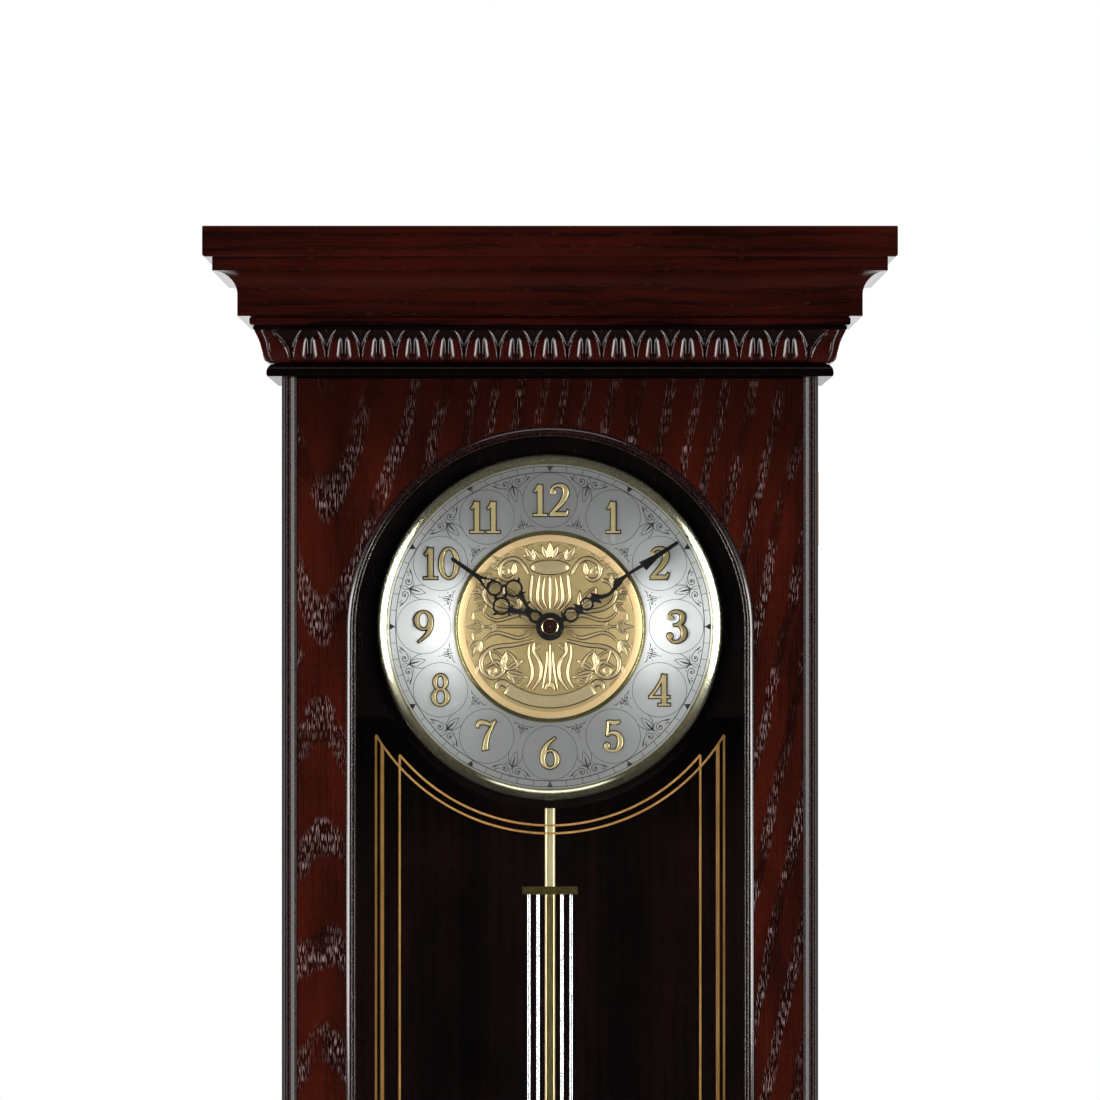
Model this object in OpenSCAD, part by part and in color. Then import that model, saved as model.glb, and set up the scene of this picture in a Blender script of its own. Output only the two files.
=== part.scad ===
/* [Case] */
// Width of the carcass over its sides
case_w = 282; // [260:1:320]
// Depth of the carcass sides, wall to front edge
case_d = 82; // [80:1:110]
// Thickness of the side and bottom boards
side_t = 12; // [9:0.5:15]
// Thickness of the back panel
back_t = 5; // [4:0.5:8]
// Height between the cornice and the base
body_h = 582.5; // [560:0.5:700]
// Distance from the top of the cornice down to the hanger bore
hanger_drop = 70; // [60:1:76]
/* [Cornice] */
// Reach of the cornice board beyond the door edges
board_reach = 40; // [37:0.5:50]
// Thickness of the cornice board
board_t = 16.4; // [12:0.1:22]
// Reach of the flat band under the cornice board
band_reach = 35; // [30:0.5:36]
// Height of that flat band
band_h = 7.1; // [4:0.1:10]
// Radius of the hollow under the band
cove_r = 12; // [8:0.5:15]
// Height of the hollow moulding with its straight foot
cove_h = 23.5; // [18:0.5:30]
// Reach of the thin strip under the hollow
strip_reach = 16.3; // [15:0.1:20]
// Height of that thin strip
strip_h = 4.3; // [3:0.1:7]
// Reach of the carved strip at its top
leaf_reach = 14.5; // [12:0.1:15]
// Reach of the carved strip at its foot
leaf_foot = 4.5; // [3:0.1:6]
// Height of the flat top edge of the carved strip
leaf_lip_h = 2.4; // [1.5:0.1:4]
// Height of the carved face below the lip
leaf_h = 17.7; // [14:0.1:24]
// Reach of the bead at the cornice's foot
bead_reach = 7.7; // [6:0.1:10]
// Height of that bead
bead_h = 7.1; // [5:0.1:10]
/* [Base] */
// Height of the hollow moulding above the plinth
base_cove_h = 16; // [10:0.5:18]
// Reach of the plinth beyond the door edges
plinth_reach = 22; // [20:0.5:30]
// Height of the plinth
plinth_h = 27; // [20:0.5:45]
/* [Door] */
// Overhang of the door beyond the carcass sides
door_lap = 4; // [3.6:0.1:5]
// Thickness of the door
door_t = 18; // [16:0.5:22]
// Gap between the carcass and the closed door
door_gap = 0.5; // [0.4:0.1:1]
// Gap above and below the door
door_reveal = 0.8; // [0.5:0.1:2]
// Radius of the arched window
arch_r = 105.3; // [98:0.1:108]
// Drop from the cornice's foot to the arch centre
arch_drop = 136.9; // [130:0.1:150]
// Height of the door's bottom rail
sill_h = 45; // [35:1:60]
// Width of the moulding around the window
arch_trim_w = 5; // [4:0.1:7]
// How far the window moulding stands out of the door
arch_trim_rise = 0.8; // [0.2:0.1:2]
// Width of the moulded strips on the door's upright edges
edge_trim_w = 8.6; // [7:0.1:11]
// Thickness of the glass
glass_t = 2; // [1.5:0.1:3]
// Cover of the glass behind the window moulding
glass_lap = 3; // [2:0.1:5]
// Depth of the beads that hold the glass
glass_bead_t = 2.7; // [2:0.1:4]
/* [Hinges] */
// Height of each hinge
hinge_h = 40; // [30:1:60]
// Distance from the door's end to the hinge middle
hinge_inset = 70; // [50:1:100]
// Radius of the hinge knuckle
knuckle_r = 2.5; // [2.2:0.1:2.8]
// Radius of the hinge pin
hinge_pin_r = 1.2; // [1:0.1:1.5]
// Thickness of the hinge leaves
leaf_t = 0.8; // [0.6:0.1:1]
/* [Dial] */
// Height of the dial centre above the arch centre
dial_rise = 2; // [0:0.1:5]
// Radius of the bezel's outer edge
bezel_r = 95; // [93:0.5:97]
// Width of the bezel seen from the front
bezel_w = 6.4; // [4:0.1:9]
// Height of the bezel above the dial board
bezel_h = 5; // [3.5:0.1:7]
// Thickness of the dial board
dial_board_t = 5; // [4:0.5:8]
// Distance from the wall to the dial board's front face
dial_y = 63.5; // [62:0.5:66]
// Radius of the round lower edge of the dial board
apron_r = 99.5; // [98:0.5:104]
// Drop from the dial centre to the board's shoulders
shoulder_drop = 49.2; // [40:0.1:60]
// Fillet where the shoulders meet the round edge
shoulder_fillet = 12; // [6:0.5:20]
// Thickness of the dial plate
dial_t = 0.8; // [0.5:0.1:1.2]
// Radius of the middle medallion
medallion_r = 52.6; // [48:0.1:54]
// Width of the medallion's raised rim
medallion_rim_w = 5.6; // [3:0.1:8]
// Thickness of the medallion
medallion_t = 1; // [0.6:0.1:1.4]
// Radius of the circle that the numerals are centred on
numeral_ring_r = 69.2; // [68:0.1:72]
// Height of the numerals
numeral_h = 17.6; // [14:0.1:19]
// Thickness of the numerals
numeral_t = 1.1; // [0.5:0.1:1.5]
/* [Hands] */
// Length of the minute hand from its axis
minute_len = 83.9; // [75:0.1:86]
// Length of the hour hand from its axis
hour_len = 65.7; // [55:0.1:70]
// Minute hand's angle from the twelve, clockwise
minute_angle = 56.6; // [0:0.1:360]
// Hour that the hour hand has passed
hour_passed = 10; // [0:1:11]
// Radius of the hands' hub discs
hub_r = 7.7; // [6:0.1:9]
// Thickness of the hands
hand_t = 0.5; // [0.4:0.1:0.8]
// Radius of the cap nut on the hands
cap_r = 4.6; // [4:0.1:6]
/* [Movement] */
// Width of the movement
mov_w = 90; // [86:1:110]
// Height of the movement above the hand axis
mov_up = 38; // [38:1:50]
// Depth of the movement below the hand axis
mov_down = 42; // [42:1:50]
// Depth of the movement's rear case
mov_d = 16.5; // [16.5:0.1:18]
// Thickness of the movement's walls
mov_wall = 1.6; // [1.2:0.1:2]
// Radius of the minute shaft
shaft_r = 1.6; // [1.2:0.1:1.7]
// Outer radius of the hour pipe
pipe_r = 2.5; // [2.3:0.1:2.8]
// Outer radius of the threaded centre bush
bush_r = 4; // [3.6:0.1:4.6]
// Radial running clearance of shafts in their bores
run_clear = 0.05; // [0.02:0.01:0.08]
// Radius of the battery cells
cell_r = 7.2; // [7:0.05:7.25]
// Length of the battery cells
cell_len = 50.5; // [48:0.5:50.5]
/* [Pendulum] */
// Distance from the wall to the middle of the pendulum
pend_y = 44; // [43:0.5:45]
// Drop from the hand axis to the pendulum pivot
pivot_drop = 50; // [49:0.5:52]
// Drop from the hand axis to the upper crossbar's middle
bar_drop = 145.5; // [125:0.5:160]
// Distance between the crossbars
bar_gap = 124; // [90:1:130]
// Width of the crossbars
bar_w = 30.5; // [29:0.5:40]
// Height of the crossbars
bar_h = 4.4; // [3.5:0.1:6]
// Thickness of the crossbars
bar_t = 5; // [4:0.1:6]
// Width of the brass strip
strip_w = 5.6; // [4:0.1:7]
// Thickness of the brass strip
strip_t = 1.2; // [0.8:0.1:1.4]
// Radius of the silver rods
rod_r = 1.15; // [0.9:0.05:1.5]
// Distance of the inner silver rods from the middle
rod_in = 6.6; // [6:0.1:7]
// Distance of the outer silver rods from the middle
rod_out = 11.7; // [10.5:0.1:13]
// Drop from the hand axis to the bob's middle
bob_drop = 330; // [320:1:335]
// Radius of the bob
bob_r = 38; // [34:0.5:42]
// Height of the bob's domed face
bob_dome = 7; // [5:0.5:8]
// Wall of the bob's shell
bob_wall = 0.8; // [0.6:0.1:1]
/* [Hanger] */
// Thickness of the hanger plate
hanger_t = 1.5; // [1:0.1:2]
// Radius of the hanger bore
hanger_r = 5; // [4.5:0.1:6]
// Width of the slot above the hanger bore
hanger_slot = 4.5; // [4:0.1:5]
/* [Hidden] */
// Fits
snug = 0.05;
gap = 0.3;
past = 1;
// Levels, from the hanger bore at z = 0
top_z = hanger_drop;
board_z = top_z - board_t;
band_z = board_z - band_h;
cove_z = band_z - cove_h;
strip_z = cove_z - strip_h;
leaf_z = strip_z - leaf_lip_h - leaf_h;
cornice_z = leaf_z - bead_h;
base_z = cornice_z - body_h;
plinth_z = base_z - bead_h - base_cove_h;
bottom_z = plinth_z - plinth_h;
door_top_z = cornice_z - door_reveal;
door_low_z = base_z + door_reveal;
arch_z = cornice_z - arch_drop;
dial_z = arch_z + dial_rise;
sill_z = door_low_z + sill_h;
// Planes, from the wall at y = 0 towards the front
door_back = -case_d - door_gap;
front = door_back - door_t;
glass_back = door_back - glass_bead_t - snug;
glass_front = glass_back - glass_t;
board_front = -dial_y;
board_back = board_front + dial_board_t;
plate_front = board_front - dial_t;
medal_front = plate_front - medallion_t;
// Half widths
half = case_w / 2 + door_lap;
case_half = case_w / 2;
inner_half = case_half - side_t;
trim_r = arch_r + arch_trim_w;
glass_r = arch_r + glass_lap + arch_trim_w;
// Cornice parts behind the mouldings
hang_rail_t = 12;
hang_rail_z = cornice_z - 8;
band_step = 0.6;
base_step = 2;
round_small = 1.2;
figure_h = 17.6;
// Hinges
pin_x = case_half + knuckle_r + gap;
pin_y = door_back + gap + knuckle_r;
hinge_levels = [door_top_z - hinge_inset, door_low_z + hinge_inset];
leaf_reach_x = 14;
leaf_clear = 0.1;
knuckle_gap = 0.2;
knuckle_h = hinge_h / 3;
hinge_screw_dz = 11;
hinge_screw_dx = 9;
// Wood screws
screw_r = 1.2;
screw_head_r = 2.4;
screw_head_t = 0.8;
screw_len = 9;
// Catch
catch_w = 12;
catch_h = 36;
catch_z = base_z + catch_h / 2 + 1;
catch_t = 12;
keeper_t = 0.8;
// Dial board fixing
cleat = 10;
board_top_z = cornice_z - 12;
shoulder_z = dial_z - shoulder_drop;
board_screw_x = inner_half - cleat / 2;
board_screw_z = [board_top_z - 12, shoulder_z + 12];
// Stack of the hands on the bush
washer_t = 0.5;
washer_r = 7;
nut_r = 6.3;
nut_t = 2;
bush_end = medal_front - washer_t - nut_t - 0.4;
hour_back = bush_end - 0.5;
minute_back = hour_back - hand_t - 1.2;
cap_h = 2.6;
// Movement planes
plate_t = 2;
mov_front = board_back;
mov_in = mov_front + plate_t;
mov_rear = mov_in + mov_d;
mov_inner_rear = mov_rear - mov_wall;
// Gears
press = 25;
tip_share = 0.8;
root_share = 1.05;
backlash = 0.04;
m_hand = 0.5;
m_hour = 0.48;
m_drive = 0.3;
cannon_n = 12;
wheel_n = 36;
pinion_n = 10;
hour_n = 40;
set_n = 12;
drive_n = 60;
motor_n = 8;
train_d = m_hand * (cannon_n + wheel_n) / 2;
set_dir = 30;
post_inset = 4.5;
set_d = m_hand * (set_n + wheel_n) / 2;
set_x = set_d * cos(set_dir);
set_up = train_d + set_d * sin(set_dir);
motor_d = m_drive * (drive_n + motor_n) / 2;
arbor_r = 1;
hour_y = [mov_in + 0.3, mov_in + 1.3];
wheel_y = [mov_in + 2.3, mov_in + 3.3];
mesh_y = [mov_in + 1.9, mov_in + 3.6];
drive_y = [mov_in + 4.1, mov_in + 5.1];
module_y = mov_in + 6.2;
// Battery tray
tray_wall = 1.2;
contact_t = 0.4;
spring_h = 2.6;
tray_half = cell_len / 2 + spring_h + contact_t;
tray_low = -mov_down + 2.2;
tray_high = tray_low + 4 * cell_r + 3 * snug + 0.15;
cell_low = tray_low + snug + cell_r;
cell_high = cell_low + 2 * cell_r + snug;
cell_y = mov_inner_rear - cell_r + 0.6;
cover_t = 1.5;
cover_lap = 1;
cover_y = mov_rear + 0.1;
lip_y = cover_y + cover_t + gap;
lip_t = 0.8;
rail_w = 0.9;
// Controls on the movement's rear
dial_knob_x = -mov_w / 3;
select_x = 0;
control_up = 29;
board_low = 22;
circuit_t = 1.6;
circuit_y = mov_inner_rear - 4;
post_r = 2;
board_post_x = mov_w / 2 - 26;
// Pendulum
pivot_z = dial_z - pivot_drop;
ear_t = 2;
ear_gap = 7;
pivot_r = 1;
hanger_w = 10;
hanger_front = -pend_y - ear_gap / 2 + gap;
hanger_back = -pend_y + ear_gap / 2 - gap;
hanger_foot = pivot_z - 24;
hook_depth = 7;
magnet_r = 4;
magnet_t = 2;
magnet_z = pivot_z - 12;
coil_r = 7;
coil_t = 5;
tongue_w = 24;
upper_bar_z = dial_z - bar_drop;
lower_bar_z = upper_bar_z - bar_gap;
socket = 2.8;
bob_z = dial_z - bob_drop;
bob_rim_y = -pend_y + 1;
bob_back_y = -pend_y + 5;
bob_face_y = bob_rim_y - bob_dome;
dome_r = (bob_r * bob_r + bob_dome * bob_dome) / (2 * bob_dome);
weight_r = bob_r - 10;
rating_r = 5;
rating_h = 4;
thread_r = 1.5;
thread_len = 16;
// Speaker
speaker_r = 28.5;
speaker_rim_t = 2;
basket_d = 10;
speaker_magnet_r = 14;
speaker_magnet_t = 8;
slot_w = 3;
slot_pitch = 7;
slot_h = 30;
// Openings in the back panel
service_half = mov_w / 2 + 5;
service_low = dial_z - mov_down - 4;
service_high = dial_z + mov_up + 4;
speaker_z = (hang_rail_z + service_high) / 2;
// Hanger
hanger_plate_w = 60;
hanger_plate_low = 12;
hanger_plate_high = 14;
hanger_slot_len = 8;
hanger_screw_x = 23;
pocket_r = 9;
pocket_d = 10;

// A box between two opposite corners
module block(low, high) {
    translate(low) cube(high - low);
}

// A flat shape drawn in x and z, filling the depth from y0 to y1
module slab(y0, y1) {
    translate([0, y1, 0]) rotate([90, 0, 0]) linear_extrude(y1 - y0) children();
}

// A round bar along the depth
module bar(x, z, y0, y1, r) {
    slab(y0, y1) translate([x, z]) circle(r, $fn = 64);
}

// A turned shape about the hand axis, its profile's height running forward from y0
module turned(y0, z) {
    translate([0, y0, z]) rotate([90, 0, 0]) rotate_extrude($fn = 180) children();
}

// A strip's section with rounded outer corners, reaching p
module nose(p, h, r_low, r_high) {
    r = max(r_low, r_high);
    intersection() {
        translate([-door_lap, 0]) square([p + door_lap, h]);
        union() {
            translate([-door_lap, 0]) square([p + door_lap - r, h]);
            translate([p - r_low, r_low]) circle(r_low, $fn = 64);
            translate([p - r_high, h - r_high]) circle(r_high, $fn = 64);
            translate([p - r, r_low]) square([r, h - r_low - r_high]);
            square([p - r_low, h - r_high]);
            translate([0, r_low]) square([p - r_high, h - r_low]);
        }
    }
}

// Plan of the carcass and door front that a moulding goes round
module plan_core() {
    polygon([[-half, front], [half, front], [half, -case_d], [case_half, -case_d], [case_half, past],
        [-case_half, past], [-case_half, -case_d], [-half, -case_d]]);
}

// A moulding of one section round the front and both sides, mitred at the corners
module mitred(reach, z, h) {
    difference() {
        intersection() {
            translate([-half - reach, front, z]) rotate([90, 0, 90]) linear_extrude(2 * (half + reach))
                mirror([1, 0]) backed(-front, h) children();
            translate([0, 0, z]) rotate([90, 0, 0]) linear_extrude(reach - front)
                for (side = [0, 1]) mirror([side, 0]) translate([half, 0]) backed(half, h) children();
        }
        translate([0, 0, z - past]) linear_extrude(h + 2 * past) plan_core();
    }
}

// A section filled out behind, down to its whole height
module backed(depth, h) {
    children();
    translate([-depth, 0]) square([depth, h]);
}

// The window's outline for a given arch radius
module window(r) {
    low = sill_z - (r - arch_r);
    translate([0, arch_z]) circle(r, $fn = 180);
    translate([-r, low]) square([2 * r, arch_z - low]);
}

// Points of a gear's outline, with involute flanks
function polar(r, a) = [r * cos(a), r * sin(a)];
function flank(base, t, a, way) = polar(base * sqrt(1 + t * t), a + way * (t * 180 / PI - atan(t)));
function gear_points(m, n) =
    let (
        r = m * n / 2,
        base = r * cos(press),
        tip = r + tip_share * m,
        root = r - root_share * m,
        thick = 90 / n - backlash / 2 / r * 180 / PI,
        start = thick + (tan(press) * 180 / PI - press),
        t1 = sqrt(max(0, tip * tip / base / base - 1)),
        t0 = root > base ? sqrt(root * root / base / base - 1) : 0,
        steps = 4
    )
    [for (k = [0:n - 1]) let (a = k * 360 / n) each concat(
        root < base ? [polar(root, a - start)] : [],
        [for (s = [0:steps]) flank(base, t0 + (t1 - t0) * s / steps, a - start, 1)],
        [for (s = [steps:-1:0]) flank(base, t0 + (t1 - t0) * s / steps, a + start, -1)],
        root < base ? [polar(root, a + start)] : []
    )];

// A gear about the depth axis, turned so that a tooth points along the given angle
module gear(m, n, x, up, y, angle) {
    slab(y[0], y[1]) translate([x, dial_z + up]) rotate(angle) polygon(gear_points(m, n));
}

// A smooth outline along hand-picked stations [x, z, width]
function spline(a, b, c, d, t) = 0.5 * (2 * b + (c - a) * t + (2 * a - 5 * b + 4 * c - d) * t * t
    + (3 * b - a - 3 * c + d) * t * t * t);
function smooth(p, n = 5) = [for (i = [0:len(p) - 2]) for (s = [0:n - 1])
    spline(p[max(0, i - 1)], p[i], p[i + 1], p[min(len(p) - 1, i + 2)], s / n), p[len(p) - 1]];
function side_of(p, way) = [for (i = [0:len(p) - 1]) let (
    d = p[min(len(p) - 1, i + 1)] - p[max(0, i - 1)],
    l = norm([d[0], d[1]]))
    [p[i][0] - way * d[1] / l * p[i][2] / 2, p[i][1] + way * d[0] / l * p[i][2] / 2]];
module stroke(stations) {
    line = smooth(stations);
    left = side_of(line, 1);
    right = side_of(line, -1);
    polygon(concat(right, [for (i = [len(left) - 1:-1:0]) left[i]]));
}
module dot(x, z, r) {
    translate([x, z]) circle(r, $fn = 32);
}
module oval(x, z, a, b) {
    translate([x, z]) polygon([for (s = [0:35]) [a * cos(s * 10), b * sin(s * 10)]]);
}
module oval_ring(x, z, a, b, side, cap) {
    difference() {
        oval(x, z, a, b);
        oval(x, z, a - side, b - cap);
    }
}

// Upright sides of the carcass, the right one recessed for the hinge leaves
module side_panels() {
    color("#5a1c12") {
        block([-case_half, -case_d, bottom_z], [-inner_half, 0, board_z]);
        difference() {
            block([inner_half, -case_d, bottom_z], [case_half, 0, board_z]);
            for (z = hinge_levels) {
                block([pin_x - leaf_reach_x - leaf_clear, -case_d - past, z - hinge_h / 2 - leaf_clear],
                    [case_half + past, -case_d + leaf_t, z + hinge_h / 2 + leaf_clear]);
                for (s = [-1, 1]) bar(pin_x - hinge_screw_dx, z + s * hinge_screw_dz,
                    -case_d, -case_d + screw_len + snug, screw_r);
            }
        }
    }
}

// Thin panel that closes the back, with the service opening and the speaker's slots
module back_panel() {
    color("#4a1a10") difference() {
        block([-inner_half, -back_t, base_z - side_t], [inner_half, 0, board_z]);
        block([-service_half, -back_t - past, service_low], [service_half, past, service_high]);
        for (k = [-2:2]) slab(-back_t - past, past) {
            translate([k * slot_pitch, speaker_z - slot_h / 2 + slot_w / 2])
                square([slot_w, slot_h - slot_w], center = false);
        }
        hanger_recess();
        for (x = [-1, 1]) bar(x * hanger_screw_x, 0, -back_t - past, past, screw_r);
        for (a = [45:90:315]) bar(speaker_screw_r() * cos(a), speaker_z + speaker_screw_r() * sin(a),
            -back_t - past, -back_t + 3, screw_r);
    }
}
function speaker_screw_r() = speaker_r + 3.5;
module hanger_recess() {
    block([-hanger_plate_w / 2, -hanger_t, -hanger_plate_low], [hanger_plate_w / 2, past, hanger_plate_high]);
    slab(-pocket_d, 0) {
        circle(pocket_r, $fn = 64);
        translate([-hanger_slot, 0]) square([2 * hanger_slot, hanger_r + hanger_slot_len]);
    }
}

// Floor of the case
module bottom_panel() {
    color("#5a1c12") block([-inner_half, -case_d, base_z - side_t], [inner_half, -back_t, base_z]);
}

// Stout rail behind the back panel's top, which takes the clock's weight
module hanging_rail() {
    color("#8a5a3a") difference() {
        block([-inner_half, -back_t - hang_rail_t, hang_rail_z], [inner_half, -back_t, board_z]);
        hanger_recess();
        for (x = [-1, 1]) bar(x * hanger_screw_x, 0, -back_t - hang_rail_t / 2, past, screw_r);
    }
}

// Board behind the front of the cornice
module frieze_board() {
    color("#5a1c12") block([-half, front, cornice_z], [half, -case_d, board_z]);
}

// Board behind the front of the base
module base_rail() {
    color("#5a1c12") block([-half, front, bottom_z], [half, -case_d, base_z]);
}

// Flat board that crowns the cornice, its edges softened
module cornice_board() {
    color("#6b2216") intersection() {
        translate([-half - board_reach, front, board_z]) rotate([90, 0, 90])
            linear_extrude(2 * (half + board_reach)) mirror([1, 0]) board_section(-front);
        translate([0, 0, board_z]) rotate([90, 0, 0]) linear_extrude(board_reach - front)
            for (side = [0, 1]) mirror([side, 0]) translate([half, 0]) board_section(half);
    }
}
module board_section(back) {
    nose(board_reach, board_t, 1.5, 0.8);
    translate([-back, 0]) square([back + past, board_t]);
}

// Flat band and hollow, milled as one strip
module crown_moulding() {
    color("#5e1e14") mitred(band_reach, cove_z, cove_h + band_h) {
        translate([0, cove_h]) translate([-door_lap, 0]) square([band_reach + door_lap, band_h]);
        difference() {
            translate([-door_lap, 0]) square([band_reach - band_step + door_lap, cove_h]);
            translate([band_reach - band_step, cove_h - cove_r]) circle(cove_r, $fn = 96);
            translate([band_reach - band_step - cove_r, -past])
                square([cove_r + past, cove_h - cove_r + past]);
        }
    }
}

// The two plain strips above and below the carved one
module neck_strips() {
    color("#5e1e14") {
        mitred(strip_reach, strip_z, strip_h) nose(strip_reach, strip_h, round_small, round_small);
        mitred(bead_reach, cornice_z, bead_h) nose(bead_reach, bead_h, round_small, bead_h - 2.2);
    }
}

// Strip that carries the carved leaves
module leaf_moulding() {
    color("#4a1810") mitred(leaf_reach, leaf_z, leaf_h + leaf_lip_h) polygon([
        [-door_lap, 0], [leaf_foot, 0], [leaf_reach - 0.8, leaf_h], [leaf_reach, leaf_h],
        [leaf_reach, leaf_h + leaf_lip_h], [-door_lap, leaf_h + leaf_lip_h]]);
}

// Bead and hollow between the door and the plinth
module base_moulding() {
    r = base_cove_h - base_step;
    reach = plinth_reach - base_step;
    color("#5e1e14") mitred(reach, plinth_z, bead_h + base_cove_h) {
        translate([0, base_cove_h]) nose(bead_reach, bead_h, bead_h - 2.2, round_small);
        difference() {
            translate([-door_lap, 0]) square([reach + door_lap, base_cove_h + snug]);
            translate([reach, base_cove_h]) circle(r, $fn = 96);
            translate([reach - r, base_cove_h]) square([base_cove_h, past]);
        }
    }
}

// Flat plinth at the foot
module plinth() {
    color("#5a1c12") mitred(plinth_reach, bottom_z, plinth_h)
        nose(plinth_reach, plinth_h, round_small, 3);
}

// Wooden board that carries the dial, with its shoulders and round lower edge
module dial_board() {
    reach_z = shoulder_drop + shoulder_fillet;
    joint_x = sqrt(pow(apron_r + shoulder_fillet, 2) - reach_z * reach_z);
    joint_angle = atan2(reach_z, joint_x);
    round_edge = [for (s = [0:48]) let (a = -180 + joint_angle + s * (180 - 2 * joint_angle) / 48)
        [apron_r * cos(a), apron_r * sin(a)]];
    fillet = [for (s = [0:8]) let (a = 180 - joint_angle - s * (90 - joint_angle) / 8)
        [joint_x + shoulder_fillet * cos(a), -reach_z + shoulder_fillet * sin(a)]];
    mirrored = [for (s = [8:-1:0]) [-fillet[s][0], fillet[s][1]]];
    color("#3a140d") difference() {
        slab(board_front, board_back) translate([0, dial_z]) polygon(concat(
            [[inner_half, board_top_z - dial_z], [-inner_half, board_top_z - dial_z], [-inner_half, -shoulder_drop]],
            mirrored, round_edge, fillet, [[inner_half, -shoulder_drop]]));
        bar(0, dial_z, board_front - past, board_back + past, bush_r + gap);
        board_screw_sites() {
            bar(0, 0, board_front - past, board_back + past, screw_r);
            bar(0, 0, board_front - past, board_front + screw_head_t, screw_head_r);
        }
    }
}
module board_screw_sites() {
    for (x = [-1, 1]) for (z = board_screw_z) translate([x * board_screw_x, 0, z]) children();
}

// Upright battens that the dial board is screwed to
module board_cleats() {
    color("#8a5a3a") difference() {
        for (side = [0, 1]) mirror([side, 0, 0])
            block([inner_half - cleat, board_back, shoulder_z + 2], [inner_half, board_back + cleat, board_top_z]);
        board_screw_sites() bar(0, 0, board_back - past, board_back + screw_len, screw_r);
    }
}

// Silver dial plate
module dial_plate() {
    color("#c8c8c6") turned(board_front, dial_z) translate([bush_r + gap, 0])
        square([bezel_r - 3 - bush_r - gap, dial_t]);
}

// Gilt medallion in the middle of the dial, with a raised rim
module medallion() {
    color("#b9a05a") turned(plate_front, dial_z) {
        translate([bush_r + gap, 0]) square([medallion_r - bush_r - gap, medallion_t]);
        translate([medallion_r - medallion_rim_w, 0]) square([medallion_rim_w, medallion_t + 0.2]);
        translate([medallion_r - 1.6, medallion_t]) circle(0.7, $fn = 32);
    }
}

// Gilt bezel over the dial plate's edge
module bezel() {
    inner = bezel_r - bezel_w;
    color("#c9a24a") turned(board_front, dial_z) polygon([[bezel_r - 2.9, 0], [bezel_r, 0],
        [bezel_r, bezel_h - 2], [bezel_r - 1.2, bezel_h - 0.6], [bezel_r - 2.6, bezel_h],
        [bezel_r - 3.8, bezel_h - 0.4], [inner + 1, dial_t + 1.6], [inner, dial_t + 0.9], [inner, dial_t],
        [bezel_r - 2.9, dial_t]]);
}

// One upright figure, drawn at its full height about its middle
module figure(n) {
    h = figure_h;
    translate([0, -h / 2]) {
        if (n == 0) oval_ring(0, h / 2, 5.6, h / 2, 2.6, 1.3);
        if (n == 1) {
            translate([-1.4, 0.4]) square([2.8, h - 0.8]);
            stroke([[-3.3, 13.2, 0.8], [-1.8, 14.6, 1.7], [-0.4, 17.1, 2]]);
            translate([-3.8, 0]) square([7.6, 1.4]);
        }
        if (n == 2) {
            dot(-3.3, 13.3, 1.6);
            stroke([[-4.4, 13.4, 1.1], [-3.4, 15.7, 1.4], [-0.4, 17, 1.8], [3, 15.6, 2.8], [3.6, 12, 3.1],
                [1.4, 7.6, 2.6], [-2.2, 3.6, 2], [-4.6, 0.9, 1.7]]);
            polygon([[-5.1, 0], [4.2, 0], [5.2, 3.4], [4.5, 3.8], [3.6, 2.3], [-4.2, 2.3]]);
        }
        if (n == 3) {
            dot(-3.1, 13.6, 1.5);
            dot(-3.6, 3.6, 1.7);
            stroke([[-4.2, 13.8, 0.9], [-3, 16.1, 1.4], [0, 17, 1.7], [3, 15.6, 2.6], [3.2, 12.2, 2.8],
                [0.6, 9.8, 1.6], [-1.6, 9.5, 1.1]]);
            stroke([[-1.6, 9.6, 1.1], [1.6, 9.4, 1.7], [4, 7, 2.9], [4, 3.4, 3], [1.4, 0.8, 2],
                [-2, 0.6, 1.4], [-4.3, 2.6, 1.2]]);
        }
        if (n == 4) {
            stroke([[2.4, 17.2, 1.3], [0.6, 13.4, 1.3], [-2, 9, 1.3], [-5.2, 4.9, 1.3]]);
            translate([-5.7, 4.1]) square([11.4, 1.5]);
            translate([1.1, 0.4]) square([2.8, h - 0.8]);
            translate([-0.8, 0]) square([6.6, 1.4]);
        }
        if (n == 5) {
            stroke([[-2.7, 16.9, 1.3], [0.6, 16, 2.5], [3.6, 16.9, 1.3]]);
            stroke([[-2.8, 17.2, 1.2], [-3, 13, 1.2], [-3.4, 9, 1.2]]);
            stroke([[-3.4, 9, 1.2], [-1, 10.6, 1.6], [2.2, 10, 2.4], [4, 6.8, 3], [3.4, 2.8, 2.8],
                [0.8, 0.7, 1.7], [-2.4, 0.8, 1.3], [-4, 2.8, 1.2]]);
            dot(-3.4, 3.7, 1.6);
        }
        if (n == 6) {
            oval_ring(0, 5.4, 5.2, 5.4, 2.5, 1.2);
            stroke([[-4.1, 5.4, 2.4], [-3.6, 9.4, 2.4], [-1.6, 13.4, 1.8], [3, 17.3, 0.9]]);
        }
        if (n == 7) {
            stroke([[-5, 13.4, 1.1], [-4.2, 16, 2.5], [-1.2, 16.2, 2.2], [1.8, 15.2, 1.8], [4.8, 17.1, 1.3]]);
            stroke([[4.7, 17, 1.2], [2, 12.4, 1.6], [0, 7.6, 2.4], [-0.8, 3, 3.1], [-0.6, 1.1, 3.3]]);
        }
        if (n == 8) {
            oval_ring(0, 13, 4.1, 4.6, 2.1, 1.2);
            oval_ring(0, 4.8, 5, 5, 2.5, 1.2);
        }
        if (n == 9) translate([0, h]) rotate(180) {
            oval_ring(0, 5.4, 5.2, 5.4, 2.5, 1.2);
            stroke([[-4.1, 5.4, 2.4], [-3.6, 9.4, 2.4], [-1.6, 13.4, 1.8], [3, 17.3, 0.9]]);
        }
    }
}

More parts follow.
